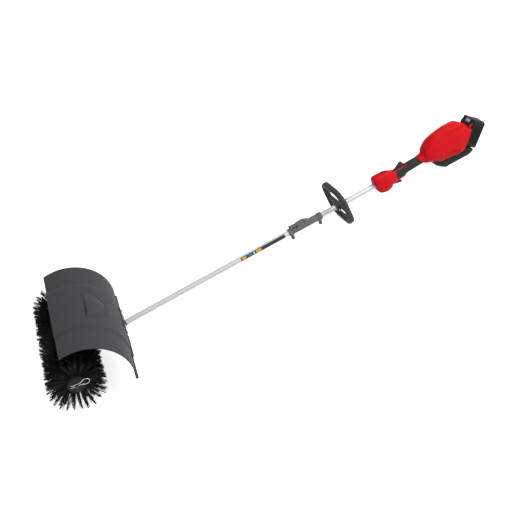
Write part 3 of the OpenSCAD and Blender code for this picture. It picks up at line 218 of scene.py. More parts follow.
def makePiece(name, bm, look, body, stands=(), smooth=32, normals=True):
    mergePoints(bm)
    if normals:
        bmesh.ops.recalc_face_normals(bm, faces=bm.faces[:])
    mesh = bpy.data.meshes.new(name)
    bm.to_mesh(mesh)
    bm.free()
    return settle(name, mesh, look, body, stands, smooth)


def roundOff(bm, geom, width, segments, affect="EDGES"):
    bmesh.ops.bevel(bm, geom=geom, offset=width * mm, offset_type="OFFSET", affect=affect,
                    segments=segments, profile=.5, material=-1, clamp_overlap=True)


def softEdges(bm, width, steeper=40, segments=2, edges=None):
    edges = bm.edges[:] if edges is None else edges
    steep = [e for e in edges if len(e.link_faces) == 2 and e.calc_face_angle(0) > math.radians(steeper)]
    roundOff(bm, steep, width, segments)


def sweepRows(bm, rows, closed=False):
    # the first row of points is drawn, and each later one is pulled out of it
    verts = [bm.verts.new(p) for p in rows[0]]
    edges = [bm.edges.new(pair) for pair in zip(verts, verts[1:])]
    if closed:
        edges.append(bm.edges.new((verts[-1], verts[0])))
    grid = [verts]
    for row in rows[1:]:
        pulled = bmesh.ops.extrude_edge_only(bm, edges=edges)["geom"]
        fresh = {v for v in pulled if isinstance(v, bmesh.types.BMVert)}
        edges = [e for e in pulled if isinstance(e, bmesh.types.BMEdge) and fresh.issuperset(e.verts)]
        verts = [next(e.other_vert(v) for e in v.link_edges if e.other_vert(v) in fresh) for v in verts]
        for v, p in zip(verts, row):
            v.co = p
        grid.append(verts)
    return grid


def spinProfile(bm, points, place, axis, steps, closed=False):
    # an outline of (radius, length) pairs turned once about an axis of a local frame
    side = Vector((1, 0, 0)) if axis.x == 0 else Vector((0, 0, 1))
    verts = [bm.verts.new(place @ (side * r * mm + axis * t * mm)) for r, t in points]
    edges = [bm.edges.new(pair) for pair in zip(verts, verts[1:])]
    if closed:
        edges.append(bm.edges.new((verts[-1], verts[0])))
    bmesh.ops.spin(bm, geom=verts + edges, cent=place.translation, axis=place.to_3x3() @ axis,
                   angle=2 * math.pi, steps=steps, use_merge=True, use_duplicate=False)
    mergePoints(bm, limits["spun"])
    bmesh.ops.recalc_face_normals(bm, faces=bm.faces[:])


def edgesAlong(bm, way):
    return [e for e in bm.edges if abs((e.verts[0].co - e.verts[1].co).normalized().dot(way)) > .9]


def sinkFaces(bm, faces, border, deep=0):
    bmesh.ops.inset_region(bm, faces=faces, thickness=border * mm, depth=-deep * mm, use_even_offset=True)


def blockOn(bm, place, low, high):
    made = bmesh.ops.create_cube(bm, size=1)["verts"]
    low, high = Vector(low) * mm, Vector(high) * mm
    size = Matrix.Diagonal((*(high - low), 1))
    bmesh.ops.transform(bm, matrix=place @ Matrix.Translation((low + high) / 2) @ size, verts=made)
    return made


def cutBox(bm, place, low, high, keepInside=False):
    # opens a box-shaped window in a surface, or keeps only what lies in it
    low, high = Vector(low) * mm, Vector(high) * mm
    inverse = place.inverted()

    def touches(face):
        spots = [inverse @ v.co for v in face.verts]
        return all(min(p[i] for p in spots) < high[i] and max(p[i] for p in spots) > low[i] for i in range(3))

    for axis in range(3):
        normal = place.to_3x3() @ Vector([i == axis for i in range(3)])
        for bound in (low, high):
            near = [f for f in bm.faces if touches(f)]
            geom = near + list({e for f in near for e in f.edges}) + list({v for f in near for v in f.verts})
            bmesh.ops.bisect_plane(bm, geom=geom, dist=1e-7, plane_co=place @ bound, plane_no=normal)

    def within(face):
        spot = inverse @ face.calc_center_median()
        return all(low[i] < spot[i] < high[i] for i in range(3))

    gone = [f for f in bm.faces if within(f) != keepInside]
    bmesh.ops.delete(bm, geom=gone, context="FACES")


def thicken(piece, wall):
    mesh = piece.data
    used = Counter(loop.edge_index for loop in mesh.loops)
    for edge in mesh.edges:                              # open edges stay crisp once they get a wall
        edge.use_edge_sharp = edge.use_edge_sharp or used[edge.index] == 1
    solid = piece.modifiers.new("wall", "SOLIDIFY")
    solid.thickness = wall * mm
    solid.offset = -1
    return piece


def cadCopy(node):
    # a CAD node's mesh, joined up, with its flat faces whole again
    bm = bmesh.new()
    bm.from_mesh(nodes[node].data)
    mergePoints(bm)
    bmesh.ops.dissolve_limit(bm, angle_limit=limits["flat"], verts=bm.verts[:], edges=bm.edges[:])
    return bm


def softCopy(node, name, width, look, body):
    # a copy of a CAD node with its sharp edges eased
    bm = cadCopy(node)
    softEdges(bm, width)
    return makePiece(name, bm, look, body, (node,))


def wireCurve(name, thick, sides):
    curve = bpy.data.curves.new(name, "CURVE")
    curve.dimensions = "3D"
    curve.bevel_depth = thick * mm
    curve.bevel_resolution = sides
    curve.use_fill_caps = True
    return curve


def wireMesh(name, curve):
    # the tube round a curve as a mesh of its own
    draft = bpy.data.objects.new(name + "Draft", curve)
    bpy.context.scene.collection.objects.link(draft)
    mesh = bpy.data.meshes.new_from_object(draft.evaluated_get(bpy.context.evaluated_depsgraph_get()))
    bpy.data.objects.remove(draft)
    mesh.name = name
    return mesh


# hood: a bent sheet with a raised middle band
hood = dict(radius=191.5, rise=5, wall=4, half=284, bandHalf=140, ramp=11, back=45.6, drop=14.5,
            front=108.7, rear=15.4, steps=96, hem=1.4,
            lip=dict(tall=9, rise=7, root=1, toe=.3, past=.2, slope=.85, edge=.8,
                     spans=((-283.4, -12), (122, 283.4))))
hoodPlace = headFrame @ Matrix.Translation((hood["back"] * mm, 0, -hood["drop"] * mm))


def onHood(angle, along, radius):
    turn = math.radians(angle)
    return hoodPlace @ (Vector((radius * math.cos(turn), along, radius * math.sin(turn))) * mm)


def makeHood():
    low, high = hood["radius"], hood["radius"] + hood["rise"]
    half, band, ramp, wall, hem = hood["half"], hood["bandHalf"], hood["ramp"], hood["wall"], hood["hem"]
    crown = [(low - hem, -half), (low, -half + hem), (low, -band - ramp - hem), (low + hem / 2, -band - ramp),
             (high - hem / 2, -band), (high, -band + hem)]
    crown += [(r, -y) for r, y in reversed(crown)]
    inside = [(r - wall if abs(y) < half else r - wall + 2 * hem, y) for r, y in reversed(crown)]
    outline = crown + inside
    bm = bmesh.new()
    start = [bm.verts.new(onHood(-hood["rear"], y, r)) for r, y in outline]
    face = bm.faces.new(start)
    bmesh.ops.spin(bm, geom=[face], cent=hoodPlace.translation, axis=hoodPlace.to_3x3() @ Vector((0, -1, 0)),
                   angle=math.radians(hood["rear"] + hood["front"]), steps=hood["steps"], use_duplicate=False)
    mergePoints(bm)
    bmesh.ops.recalc_face_normals(bm, faces=bm.faces[:])
    ends = [f for f in bm.faces if len(f.verts) > 4]
    softEdges(bm, hem, steeper=60, segments=3, edges=list({e for f in ends for e in f.edges}))
    return makePiece("hoodShell", bm, "hoodPlastic", "sweeper", ("hood",), smooth=24)


def makeHoodLip():
    # thicker rear edge, left out where the flange sits
    lip, band, ramp = hood["lip"], hood["bandHalf"], hood["ramp"]
    foot, crest = hood["radius"] - lip["root"], hood["radius"] + lip["rise"]
    tall = math.degrees(lip["tall"] / hood["radius"])
    rear, front = -hood["rear"] - lip["past"], -hood["rear"] + tall
    section = ((rear, foot), (rear, crest), (-hood["rear"] + tall * lip["slope"], crest),
               (front, hood["radius"] + lip["toe"]), (front, foot))
    bm = bmesh.new()
    for start, end in lip["spans"]:
        stops = [start, *[y for y in (-band - ramp, -band, band, band + ramp) if start < y < end], end]
        lifts = [hood["rise"] * (1 - max(0, min(1, (abs(y) - band) / ramp))) for y in stops]
        rows = [[onHood(a, y, r + up) for a, r in section] for y, up in zip(stops, lifts)]
        grid = sweepRows(bm, rows, closed=True)
        for line in (grid[0], grid[-1]):
            bm.faces.new(line)
    bmesh.ops.recalc_face_normals(bm, faces=bm.faces[:])
    softEdges(bm, lip["edge"])
    return makePiece("hoodLip", bm, "hoodPlastic", "sweeper", (), smooth=40)


# bare five-sided field on the hood, inside a groove: corners in degrees and mm, width and rise of each step
panel = dict(corners=((66.1, 87.9), (53.5, 97.1), (36.8, 32.2), (36.4, -62.8), (66.5, -81.7)),
             corner=7, cornerSteps=4, cell=7, sunk=.15,
             steps=((1.6, 1.7), (1.2, 0), (1.2, -1.6), (3.6, 0), (1.4, 1.5)))


def makeHoodPanel():
    outer = hood["radius"] + hood["rise"]
    arc = math.radians(1) * outer
    bm = bmesh.new()
    flat = [Vector((angle * arc, along, 0)) * mm for angle, along in panel["corners"]]
    bm.faces.new([bm.verts.new(p) for p in flat])
    roundOff(bm, bm.verts[:], panel["corner"], panel["cornerSteps"], "VERTICES")
    face = bm.faces[:][0]
    face.normal_update()
    if face.normal.z < 0:
        face.normal_flip()
    for thickness, depth in panel["steps"]:
        bmesh.ops.inset_region(bm, faces=[face], thickness=thickness * mm, depth=depth * mm,
                               use_boundary=True, use_even_offset=True)
    cuts = [v.co.x for v in bm.verts]
    spot = min(cuts)
    while spot < max(cuts):
        bmesh.ops.bisect_plane(bm, geom=bm.verts[:] + bm.edges[:] + bm.faces[:], dist=1e-6,
                               plane_co=(spot, 0, 0), plane_no=(1, 0, 0))
        spot += panel["cell"] * mm
    for v in bm.verts:
        v.co = onHood(v.co.x / mm / arc, v.co.y / mm, outer - panel["sunk"] + v.co.z / mm)
    return makePiece("hoodPanel", bm, "hoodPlastic", "sweeper", (), smooth=50, normals=False)


makeHood()
makeHoodLip()
makeHoodPanel()
print("stage: hood")

# brush: tufts of filaments set in rows along each half of the roller
brush = dict(rows=16, tufts=25, fibres=17, root=40.6, tip=126.8, first=50, last=252, reach=276, cap=281,
             leanLeft=58, leanRight=7, thick=.9, clump=2.4, splay=2.6, stray=.2, wild=1.9, curl=3,
             turnError=.03, tuftError=5, alongError=3, tipError=5.5, spots=(0, .4, .75, 1), taper=.35)


def makeBrush(side, lean, name, node):
    sign = -1 if side == "left" else 1
    curve = wireCurve(name, brush["thick"], 0)
    for row in range(brush["rows"]):
        share = row / (brush["rows"] - 1)
        rootY = brush["first"] + (brush["last"] - brush["first"]) * share
        tipY = brush["first"] - lean + (brush["reach"] - brush["first"] + lean) * share
        for tuft in range(brush["tufts"]):
            tuftTurn = 2 * math.pi * tuft / brush["tufts"] + random.gauss(0, brush["turnError"])
            tuftTip = brush["tip"] - abs(random.gauss(0, brush["tuftError"]))
            tuftAlong = random.gauss(0, brush["alongError"])
            for fibre in range(brush["fibres"]):
                swing = random.gauss(0, brush["splay"])
                along = tuftAlong + random.gauss(0, brush["splay"])
                if random.random() < brush["stray"]:
                    swing *= brush["wild"]
                    along *= brush["wild"]
                foot = (random.uniform(-1, 1) * brush["clump"], random.uniform(-1, 1) * brush["clump"])
                length = tuftTip - abs(random.gauss(0, brush["tipError"]))
                bend = random.gauss(0, brush["curl"])
                spline = curve.splines.new("POLY")
                spline.points.add(len(brush["spots"]) - 1)
                for k, t in enumerate(brush["spots"]):
                    radius = brush["root"] + (length - brush["root"]) * t
                    y = rootY + foot[0] * (1 - t) + (tipY - rootY) * t ** 1.5 + along * t ** 1.3
                    y = max(brush["first"] - lean + 1, min(y, brush["cap"]))
                    off = foot[1] * (1 - t) + swing * t ** 1.3 + bend * math.sin(math.pi * t)
                    turnAt = tuftTurn + math.atan2(off, radius)
                    spot = Vector((radius * math.cos(turnAt), sign * y, radius * math.sin(turnAt)))
                    spline.points[k].co = (*(headFrame @ (spot * mm)), 1)
                    spline.points[k].radius = 1 - brush["taper"] * t
    return settle(name, wireMesh(name, curve), "bristleFibre", "roller", (node,), smooth=60)


makeBrush("left", brush["leanLeft"], "brushLeft", "bristles_left")
makeBrush("right", brush["leanRight"], "brushRight", "bristles_right")
print("stage: bristles")

# roller ends: hub disc with a rim, ribs and a boss, and a spring clip through the axle
hub = dict(inner=7.6, rim=38.4, low=255.6, face=263.4, boss=34, bossFace=268.4, dish=1.6, lip=5, collar=7,
           ease=1, bossEase=1.2, boreEase=.8, ribs=6, ribHalf=1.4, ribPast=.6, ribRoot=.2, ribDrop=.5)
clip = dict(wire=1.1, leg=(-25, 16), ring=(18, 13), centre=(39, 5), sweep=(215, 290, 20), turn=3, y=270.3,
            lift=.2, over=1.5, overFrom=16, overSteps=6,
            wave=((19, 10.5), (12, 8.5), (6, 9.6), (-1, 10.6), (-8, 8.2), (-15, 10.2), (-22, 12.5)))


def makeHub(sign, name, node):
    bm = bmesh.new()
    inner, rim, boss, face, top = (hub[key] for key in ("inner", "rim", "boss", "face", "bossFace"))
    floor, ringIn, ringOut = top - hub["dish"], inner + hub["collar"], boss - hub["lip"]
    ease, bossEase, boreEase, half = hub["ease"], hub["bossEase"], hub["boreEase"], hub["ribHalf"]
    outline = [(inner, hub["low"]), (rim, hub["low"]), (rim, face - ease), (rim - ease, face), (boss, face),
               (boss, top - bossEase), (boss - bossEase, top), (ringOut + ease, top), (ringOut, floor),
               (ringIn, floor), (ringIn - ease, top), (inner + boreEase, top), (inner, top - boreEase)]
    spinProfile(bm, [(r, sign * t) for r, t in outline], headFrame, Vector((0, 1, 0)), steps=72, closed=True)
    middle, reach = (ringIn + ringOut) / 2, (ringOut - ringIn) / 2 + hub["ribPast"]
    faceY = sorted((sign * (floor - hub["ribRoot"]), sign * (top - hub["ribDrop"])))
    for k in range(hub["ribs"]):
        turn = headFrame @ Matrix.Rotation(2 * math.pi * k / hub["ribs"], 4, "Y")
        blockOn(bm, turn, (middle - reach, faceY[0], -half), (middle + reach, faceY[1], half))
    return makePiece(name, bm, "hubPlastic", "roller", (node,))


def makeClip(sign, name, node):
    turn = (headFrame @ Matrix.Translation((0, sign * clip["y"] * mm, 0))
            @ Matrix.Rotation(-math.radians(clip["turn"]), 4, "Y"))
    (long, tall), (cx, cz) = clip["ring"], clip["centre"]
    start, span, steps = clip["sweep"]
    points = [(x, 0) for x in clip["leg"]]
    points += [(cx + long * math.cos(a), cz + tall * math.sin(a))
               for a in [math.radians(start + span * k / steps) for k in range(steps + 1)]]
    points += clip["wave"]
    curve = wireCurve(name, clip["wire"], 3)
    spline = curve.splines.new("NURBS")
    spline.points.add(len(points) - 1)
    spline.order_u = 3
    spline.use_endpoint_u = True
    spline.resolution_u = 6
    for k, (x, z) in enumerate(points):
        # the waved leg runs outside the straight one
        share = max(0, min(1, (k - clip["overFrom"]) / clip["overSteps"]))
        lift = sign * (clip["lift"] + clip["over"] * clip["wire"] * share)
        spline.points[k].co = (*(turn @ (Vector((x, lift, z)) * mm)), 1)
    return settle(name, wireMesh(name, curve), "springWire", "roller", (node,), smooth=60)


for sign, side in ((-1, "left"), (1, "right")):
    makeHub(sign, "hub" + side.title(), "hub_cap_" + side)
    makeClip(sign, "clip" + side.title(), "hairpin_" + side)
print("stage: roller ends")

# front handle: a raked loop of soft oval section with a bar across the tube
loop = dict(x=-613, rake=math.radians(8.4), width=170, up=102, low=72, corner=55, cornerSteps=12, thick=21,
            band=26, ringSteps=20, square=3, edge=.8,
            barEnd=73.5, barRoot=4, barHalf=60, barLow=-20, barHigh=40)


def loopPath():
    halfW = loop["width"] / 2
    mid, halfH = (loop["up"] - loop["low"]) / 2, (loop["up"] + loop["low"]) / 2
    corner, steps = loop["corner"], loop["cornerSteps"]
    path = []
    for k, (sy, sz) in enumerate(((1, 1), (-1, 1), (-1, -1), (1, -1))):
        centre = (sy * (halfW - corner), mid + sz * (halfH - corner))
        for step in range(steps + 1):
            a = math.radians(90 * k + 90 * step / steps)
            path.append((centre[0] + corner * math.cos(a), centre[1] + corner * math.sin(a), a))
    return path


def makeLoop():
    place = Matrix.Translation((loop["x"] * mm, 0, shaftZ)) @ Matrix.Rotation(-loop["rake"], 4, "Y")
    count, power = loop["ringSteps"], loop["square"]
    rows = []
    for y, z, a in loopPath():
        out = Vector((0, math.cos(a), math.sin(a)))
        ring = []
        for k in range(count):
            b = 2 * math.pi * k / count
            c, s = math.cos(b), math.sin(b)
            grow = (abs(c) ** power + abs(s) ** power) ** (-1 / power)
            spot = Vector((loop["band"] / 2 * s * grow, y, z)) + out * (loop["thick"] / 2 * c * grow)
            ring.append(place @ (spot * mm))
        rows.append(ring)
    bm = bmesh.new()
    grid = sweepRows(bm, rows, closed=True)
    ends = []
    for line in (set(grid[0]), set(grid[-1])):
        ends += [e for e in bm.edges if line.issuperset(e.verts)]
    bmesh.ops.bridge_loops(bm, edges=ends)
    return makePiece("loopGrip", bm, "handlePlastic", "front_handle", (), smooth=60)


def makeLoopBar():
    # bar and hub of the CAD handle, with the bar's ends run into the loop
    x, half, end = loop["x"], loop["barHalf"], loop["barEnd"]
    bm = cadCopy("loop_handle")
    cutBox(bm, shaftFrame, (x - half, -end, loop["barLow"]), (x + half, end, loop["barHigh"]),
           keepInside=True)
    rim = [e for e in bm.edges if e.is_boundary]
    pulled = bmesh.ops.extrude_edge_only(bm, edges=rim)["geom"]
    for v in [g for g in pulled if isinstance(g, bmesh.types.BMVert)]:
        v.co.y += math.copysign(loop["barRoot"] * mm, v.co.y)
    softEdges(bm, loop["edge"])
    return makePiece("loopBar", bm, "handlePlastic", "front_handle", ("loop_handle",))


makeLoopBar()
softCopy("loop_clamp", "loopClamp", .7, "handlePlastic", "front_handle")
makeLoop()
print("stage: front handle")

# housing halves: rows of x, top, bottom, half width, lean of the upper half and shear, in mm from the shaft
housing = dict(
    rows=((-430, 29.9, -21.8, 20.1, 0, 0), (-425.3, 40, -32.2, 26.4, 0, 0), (-405.4, 46, -44.7, 30, .05, 0),
          (-371.5, 46, -52, 30, .1, 0), (-349.3, 42.3, -48.4, 27.9, .1, 0),
          (-339.9, 37.7, -35.4, 26.1, .08, 0), (-324.7, 30.4, -33.3, 22.8, .04, 0),
          (-313, 26, -33, 20, 0, 0), (-272, 26.5, -28.6, 20, 0, 0),
          (-261, 26.7, -16.5, 20, 0, 0), (-173, 28, -11, 20, 0, -.68), (-168, 30.7, -12, 21.1, 0, -.68),
          (-159.9, 36, -16, 24, .03, 0), (-152.3, 57.2, -19, 30.9, .06, 0), (-138, 70, -23, 36.3, .15, 0),
          (-112, 88, -35, 42.6, .25, 0), (-76.2, 99.6, -50, 47.5, .3, 0), (-24.6, 106, -50, 49, .34, 0),
          (0, 100.7, -50, 49, .33, .4), (29.1, 72.1, -48, 48, .27, .75), (56, 53, -46, 46.1, .2, 1)),
    waist=.42, round=.82, wall=2.6, hole=12.5, cell=7, turns=32, seam=.05,
    boxy=dict(nose=.16, noseFrom=-372, noseTo=-345, tail=.4, tailLow=.34, tailFrom=-50),
    gripFront=-313, gripRear=-173, under=2.8, step=.5,
    rake=dict(front=-430, rear=-398, shift=11, top=40, tall=75),
    valley=dict(front=-165, rear=40, lineFront=24, lineRear=40, wide=8, deep=3, ridge=1.9, ridgeOff=2,
                fadeIn=.25, fadeOut=.8),
    vent=dict(front=-70, rear=20, low=-36, high=-12, deep=2.6, lip=.8, ease=.2),
    slots=dict(trigger=((-344, -6.5, -104), (-286, 6.5, -11)), lockoff=((-327, -6, 12), (-252.5, 6, 64)),
               speed=((-380.5, -5, 23), (-354.5, 5, 69))),
    dock=((-28, -31.5, -20), (200, 31.5, 20.5)),
)


def smoothValue(column, x):
    # a curve through the rows that never swings past them
    rows = housing["rows"]
    i = next((k - 1 for k in range(1, len(rows)) if rows[k][0] >= x), len(rows) - 2)
    i = max(0, min(len(rows) - 2, i))

    def slope(k):
        if k <= 0 or k >= len(rows) - 1:
            return 0
        before = (rows[k][column] - rows[k - 1][column]) / (rows[k][0] - rows[k - 1][0])
        after = (rows[k + 1][column] - rows[k][column]) / (rows[k + 1][0] - rows[k][0])
        return 0 if before * after <= 0 else 2 * before * after / (before + after)

    gap = rows[i + 1][0] - rows[i][0]
    t = max(0, min(1, (x - rows[i][0]) / gap))
    a, b = rows[i][column], rows[i + 1][column]
    return (a * (1 + 2 * t) * (1 - t) ** 2 + gap * slope(i) * t * (1 - t) ** 2
            + b * t * t * (3 - 2 * t) - gap * slope(i + 1) * t * t * (1 - t))


def fade(value, low, high):
    t = max(0, min(1, (value - low) / (high - low)))
    return t * t * (3 - 2 * t)


def noseShift(x, z):
    # the nose's front leans back towards its lower edge
    rake = housing["rake"]
    return rake["shift"] * (1 - fade(x, rake["front"], rake["rear"])) * (rake["top"] - z) / rake["tall"]


def wallPoint(x, angle, inset, sign):
    top, bottom, wide, lean, shear = (smoothValue(c, x) for c in range(1, 6))
    s, c = math.sin(angle), max(0, math.cos(angle))
    valley = housing["valley"]                           # crease along the side, with a ridge above it
    if x > valley["front"]:
        share = (x - valley["front"]) / (valley["rear"] - valley["front"])
        line = math.radians(valley["lineFront"] + (valley["lineRear"] - valley["lineFront"]) * share)
        depth = valley["deep"] * fade(share, 0, valley["fadeIn"]) * (1 - fade(share, valley["fadeOut"], 1))
        off = (angle - line) / math.radians(valley["wide"])
        inset += depth * (math.exp(-off ** 2) - valley["ridge"] * math.exp(-(off - valley["ridgeOff"]) ** 2))
    boxy = housing["boxy"]
    curve = housing["round"] - boxy["nose"] * (1 - fade(x, boxy["noseFrom"], boxy["noseTo"]))
    curve -= (boxy["tail"] if s > 0 else boxy["tailLow"]) * fade(x, boxy["tailFrom"], layout["tail"])
    middle = bottom + housing["waist"] * (top - bottom)
    span = top - inset - middle if s >= 0 else middle - bottom - inset
    z = middle + math.copysign(span * abs(s) ** curve, s)
    y = max(housing["seam"], (wide - inset) * c ** curve * (1 - lean * max(0, s)))
    shifted = x + shear * (z + layout["seatDrop"]) / math.tan(layout["batterySlope"]) + noseShift(x, z)
    return shaftFrame @ (Vector((shifted, sign * y, z)) * mm)


def stationsBetween(low, high):
    places = []
    for a, b in zip(housing["rows"], housing["rows"][1:]):
        count = max(1, round((b[0] - a[0]) / housing["cell"]))
        places += [a[0] + (b[0] - a[0]) * k / count for k in range(1, count + 1)]
    return sorted({round(p, 3) for p in places if low < p < high} | {low, high})


def sideTurns():
    # from the lower seam round one side to the upper seam
    count = housing["turns"]
    return [math.radians(-90 + 180 * k / count) for k in range(count + 1)]


def gripInset(x):
    return housing["under"] if housing["gripFront"] < x < housing["gripRear"] else 0


def ventSlots(bm, grid, stations):
    vent = housing["vent"]
    angles = sideTurns()
    columns = [k for k in range(len(stations) - 1) if vent["front"] < stations[k] < vent["rear"]]
    turns = [k for k in range(len(angles) - 1) if vent["low"] < math.degrees(angles[k]) < vent["high"]]
    for column in columns[::2]:
        slot = []
        for t in turns:
            corners = {grid[column][t], grid[column + 1][t], grid[column + 1][t + 1], grid[column][t + 1]}
            slot += [f for f in grid[column][t].link_faces if set(f.verts) == corners]
        sinkFaces(bm, slot, vent["lip"])
        sinkFaces(bm, slot, vent["ease"], vent["deep"])


def makeHousing(sign, name, node):
    rows, step = housing["rows"], housing["step"]
    stations = stationsBetween(rows[0][0], rows[-1][0])
    stations = sorted(set(stations) | {housing["gripFront"] + step, housing["gripRear"] - step})
    angles = sideTurns()
    hole, front = housing["hole"], rows[0][0]
    nose = [shaftFrame @ (Vector((front + noseShift(front, hole * math.sin(a)),
                                  sign * max(housing["seam"], hole * math.cos(a)), hole * math.sin(a))) * mm)
            for a in angles]
    bm = bmesh.new()
    lines = [[wallPoint(x, a, gripInset(x), sign) for a in angles] for x in stations]
    grid = sweepRows(bm, [nose] + lines)
    bmesh.ops.recalc_face_normals(bm, faces=bm.faces[:])
    side = max(bm.faces, key=lambda f: sign * f.calc_center_median().y)
    if side.normal.y * sign < 0:
        bmesh.ops.reverse_faces(bm, faces=bm.faces[:])
    ventSlots(bm, grid[1:], stations)
    for low, high in housing["slots"].values():          # trigger, lock-off lever and speed slider
        cutBox(bm, shaftFrame, low, high)
    cutBox(bm, slideFrame, *housing["dock"])
    piece = makePiece(name, bm, "redPlastic", "sweeper", (node,), smooth=28, normals=False)
    return thicken(piece, housing["wall"])


makeHousing(-1, "housingLeft", "housing_left")
makeHousing(1, "housingRight", "housing_right")

# grip: a soft sleeve with windows for the saddle and the pod, which fill them in red
grip = dict(wall=2.5, front=-312.6, rear=-173.4, slotRear=-247, slotHalf=11, slotLow=8, slotHigh=60,
            podRear=-267, podTop=-13.5, podLow=-60, podHalf=40, gap=.4, sunk=.15, past=5, margin=1)


def gripSkin(front, rear, inset):
    bm = bmesh.new()
    stations = stationsBetween(front, rear)
    for sign in (-1, 1):
        sweepRows(bm, [[wallPoint(x, a, inset, sign) for a in sideTurns()] for x in stations])
    for v in bm.verts:
        if abs(v.co.y) <= (housing["seam"] + limits["merge"]) * mm:
            v.co.y = 0
    mergePoints(bm, limits["skin"])
    bmesh.ops.recalc_face_normals(bm, faces=bm.faces[:])
    side = max(bm.faces, key=lambda f: f.calc_center_median().y)
    if side.normal.y < 0:
        bmesh.ops.reverse_faces(bm, faces=bm.faces[:])
    return bm


def gripPiece(name, bm, look, stands=()):
    return thicken(makePiece(name, bm, look, "sweeper", stands, smooth=30, normals=False), grip["wall"])


def makeGrip():
    front, rear, gap, sunk = grip["front"], grip["rear"], grip["gap"], grip["sunk"]
    half, low, high = grip["slotHalf"], grip["slotLow"], grip["slotHigh"]
    podHalf, podLow, podTop = grip["podHalf"], grip["podLow"], grip["podTop"]
    start, inner = front - grip["past"], front - grip["margin"]
    bm = gripSkin(front, rear, 0)
    cutBox(bm, shaftFrame, (start, -half, low), (grip["slotRear"], half, high))
    cutBox(bm, shaftFrame, (start, -podHalf, podLow), (grip["podRear"], podHalf, podTop))
    gripPiece("gripSleeve", bm, "gripRubber", ("grip_sleeve",))
    bm = gripSkin(front, grip["slotRear"] - gap, sunk)
    cutBox(bm, shaftFrame, (inner, -half + gap, low), (rear, half - gap, high), keepInside=True)
    cutBox(bm, shaftFrame, *housing["slots"]["lockoff"])
    gripPiece("gripSaddle", bm, "redPlastic")
    bm = gripSkin(front, grip["podRear"] - gap, sunk)
    cutBox(bm, shaftFrame, (inner, -podHalf, podLow), (rear, podHalf, podTop - gap), keepInside=True)
    cutBox(bm, shaftFrame, *housing["slots"]["trigger"])
    gripPiece("gripPod", bm, "redPlastic")


makeGrip()
print("stage: power head shells")

# levers, switches and small pieces that keep their CAD shape with eased edges
for node, name, width, look, body, slot in (
        ("trigger", "triggerPaddle", 1.2, "blackPlastic", "trigger", "black_plastic"),
        ("lockoff_lever", "lockoffPaddle", 1.2, "blackPlastic", "lockoff", "black_plastic"),
        ("speed_switch", "speedSlider", .8, "blackPlastic", "speed_slider", "black_plastic"),
        ("skid_rail", "skidRail", 1.6, "batteryPlastic", "sweeper", "handle_plastic"),
        ("coupler_body", "couplerBody", .6, "couplerPaint", "sweeper", "grey_casting"),
        ("coupler_lever", "couplerLever", .9, "couplerPaint", "coupler_catch", "grey_casting"),
        ("tube_flange", "tubeFlange", .8, "blackSteel", "sweeper", "black_steel"),
        ("release_left", "releaseLeft", .8, "redPlastic", "left_release", "red_plastic"),
        ("release_right", "releaseRight", .8, "redPlastic", "right_release", "red_plastic"),
        ("battery_cap", "batteryNeck", 1, "batteryPlastic", "battery", "battery_plastic")):
    softCopy(node, name, width, look, body)
print("stage: levers and switches")

# coupler: fuller bosses with dark caps, a ring at each end of the body and a slope behind the lever
coupler = dict(bosses=(-862.7, -719.9), boss=((12, -9), (10.2, -15), (8.4, -21), (7.6, -31)),
               cap=((7.9, -30.8), (7.9, -37), (6.6, -39.6), (3.5, -40.6), (0, -40.8)),
               rings=((-877.6, -870, 17.2), (-728, -709, 17.6)), ringWall=2.4, ringLip=1, ringEase=1.2,
               ramp=dict(low=(-793, -14.4, 8), high=(-770, 14.4, 23), end=15, edge=1.5, steeper=20))


def makeCoupler():
    for name, outline, look, slot in (("couplerBosses", "boss", "couplerPaint", "grey_casting"),
                                      ("couplerCaps", "cap", "blackPlastic", "black_plastic")):
        bm = bmesh.new()
        for x in coupler["bosses"]:
            place = Matrix.Translation((x * mm, 0, shaftZ))
            spinProfile(bm, coupler[outline], place, Vector((0, 0, 1)), steps=32)
        makePiece(name, bm, look, "sweeper", (), smooth=40)
    wall, lip, ease = coupler["ringWall"], coupler["ringLip"], coupler["ringEase"]
    bm = bmesh.new()
    for front, rear, radius in coupler["rings"]:
        outline = [(radius - wall, front), (radius - lip, front), (radius, front + ease),
                   (radius, rear - ease), (radius - lip, rear), (radius - wall, rear)]
        spinProfile(bm, outline, shaftFrame, Vector((1, 0, 0)), steps=56, closed=True)
    makePiece("couplerRings", bm, "couplerPaint", "sweeper", (), smooth=40)
    ramp = coupler["ramp"]                               # slope behind the lever's cheeks
    bm = bmesh.new()
    made = blockOn(bm, shaftFrame, ramp["low"], ramp["high"])
    middle = sum((v.co for v in made), Vector()) / len(made)
    for v in made:
        if v.co.x > middle.x and v.co.z > middle.z:
            v.co.z = shaftZ + ramp["end"] * mm
    softEdges(bm, ramp["edge"], ramp["steeper"])
    makePiece("couplerRamp", bm, "couplerPaint", "sweeper", ())


makeCoupler()
print("stage: coupler")

# battery: rounded case with a recessed panel on each side and a gauge plate on its neck
battery = dict(low=(-24, -38, -67.8), high=(104, 38, -3.8), corner=14, edge=6, border=9, sink=1.2, ease=.8)
inlay = dict(margin=3, ends=6, below=.6, above=.5, corner=3)
gauge = dict(x=92, z=13.5, slope=math.atan2(13, 24), plate=((-9, -20, -.6), (8, 8, .5)), plateEdge=.4,
             lights=4, pitch=6, light=((-2, -17, .3), (3, -13, .8)), lightEdge=.15)


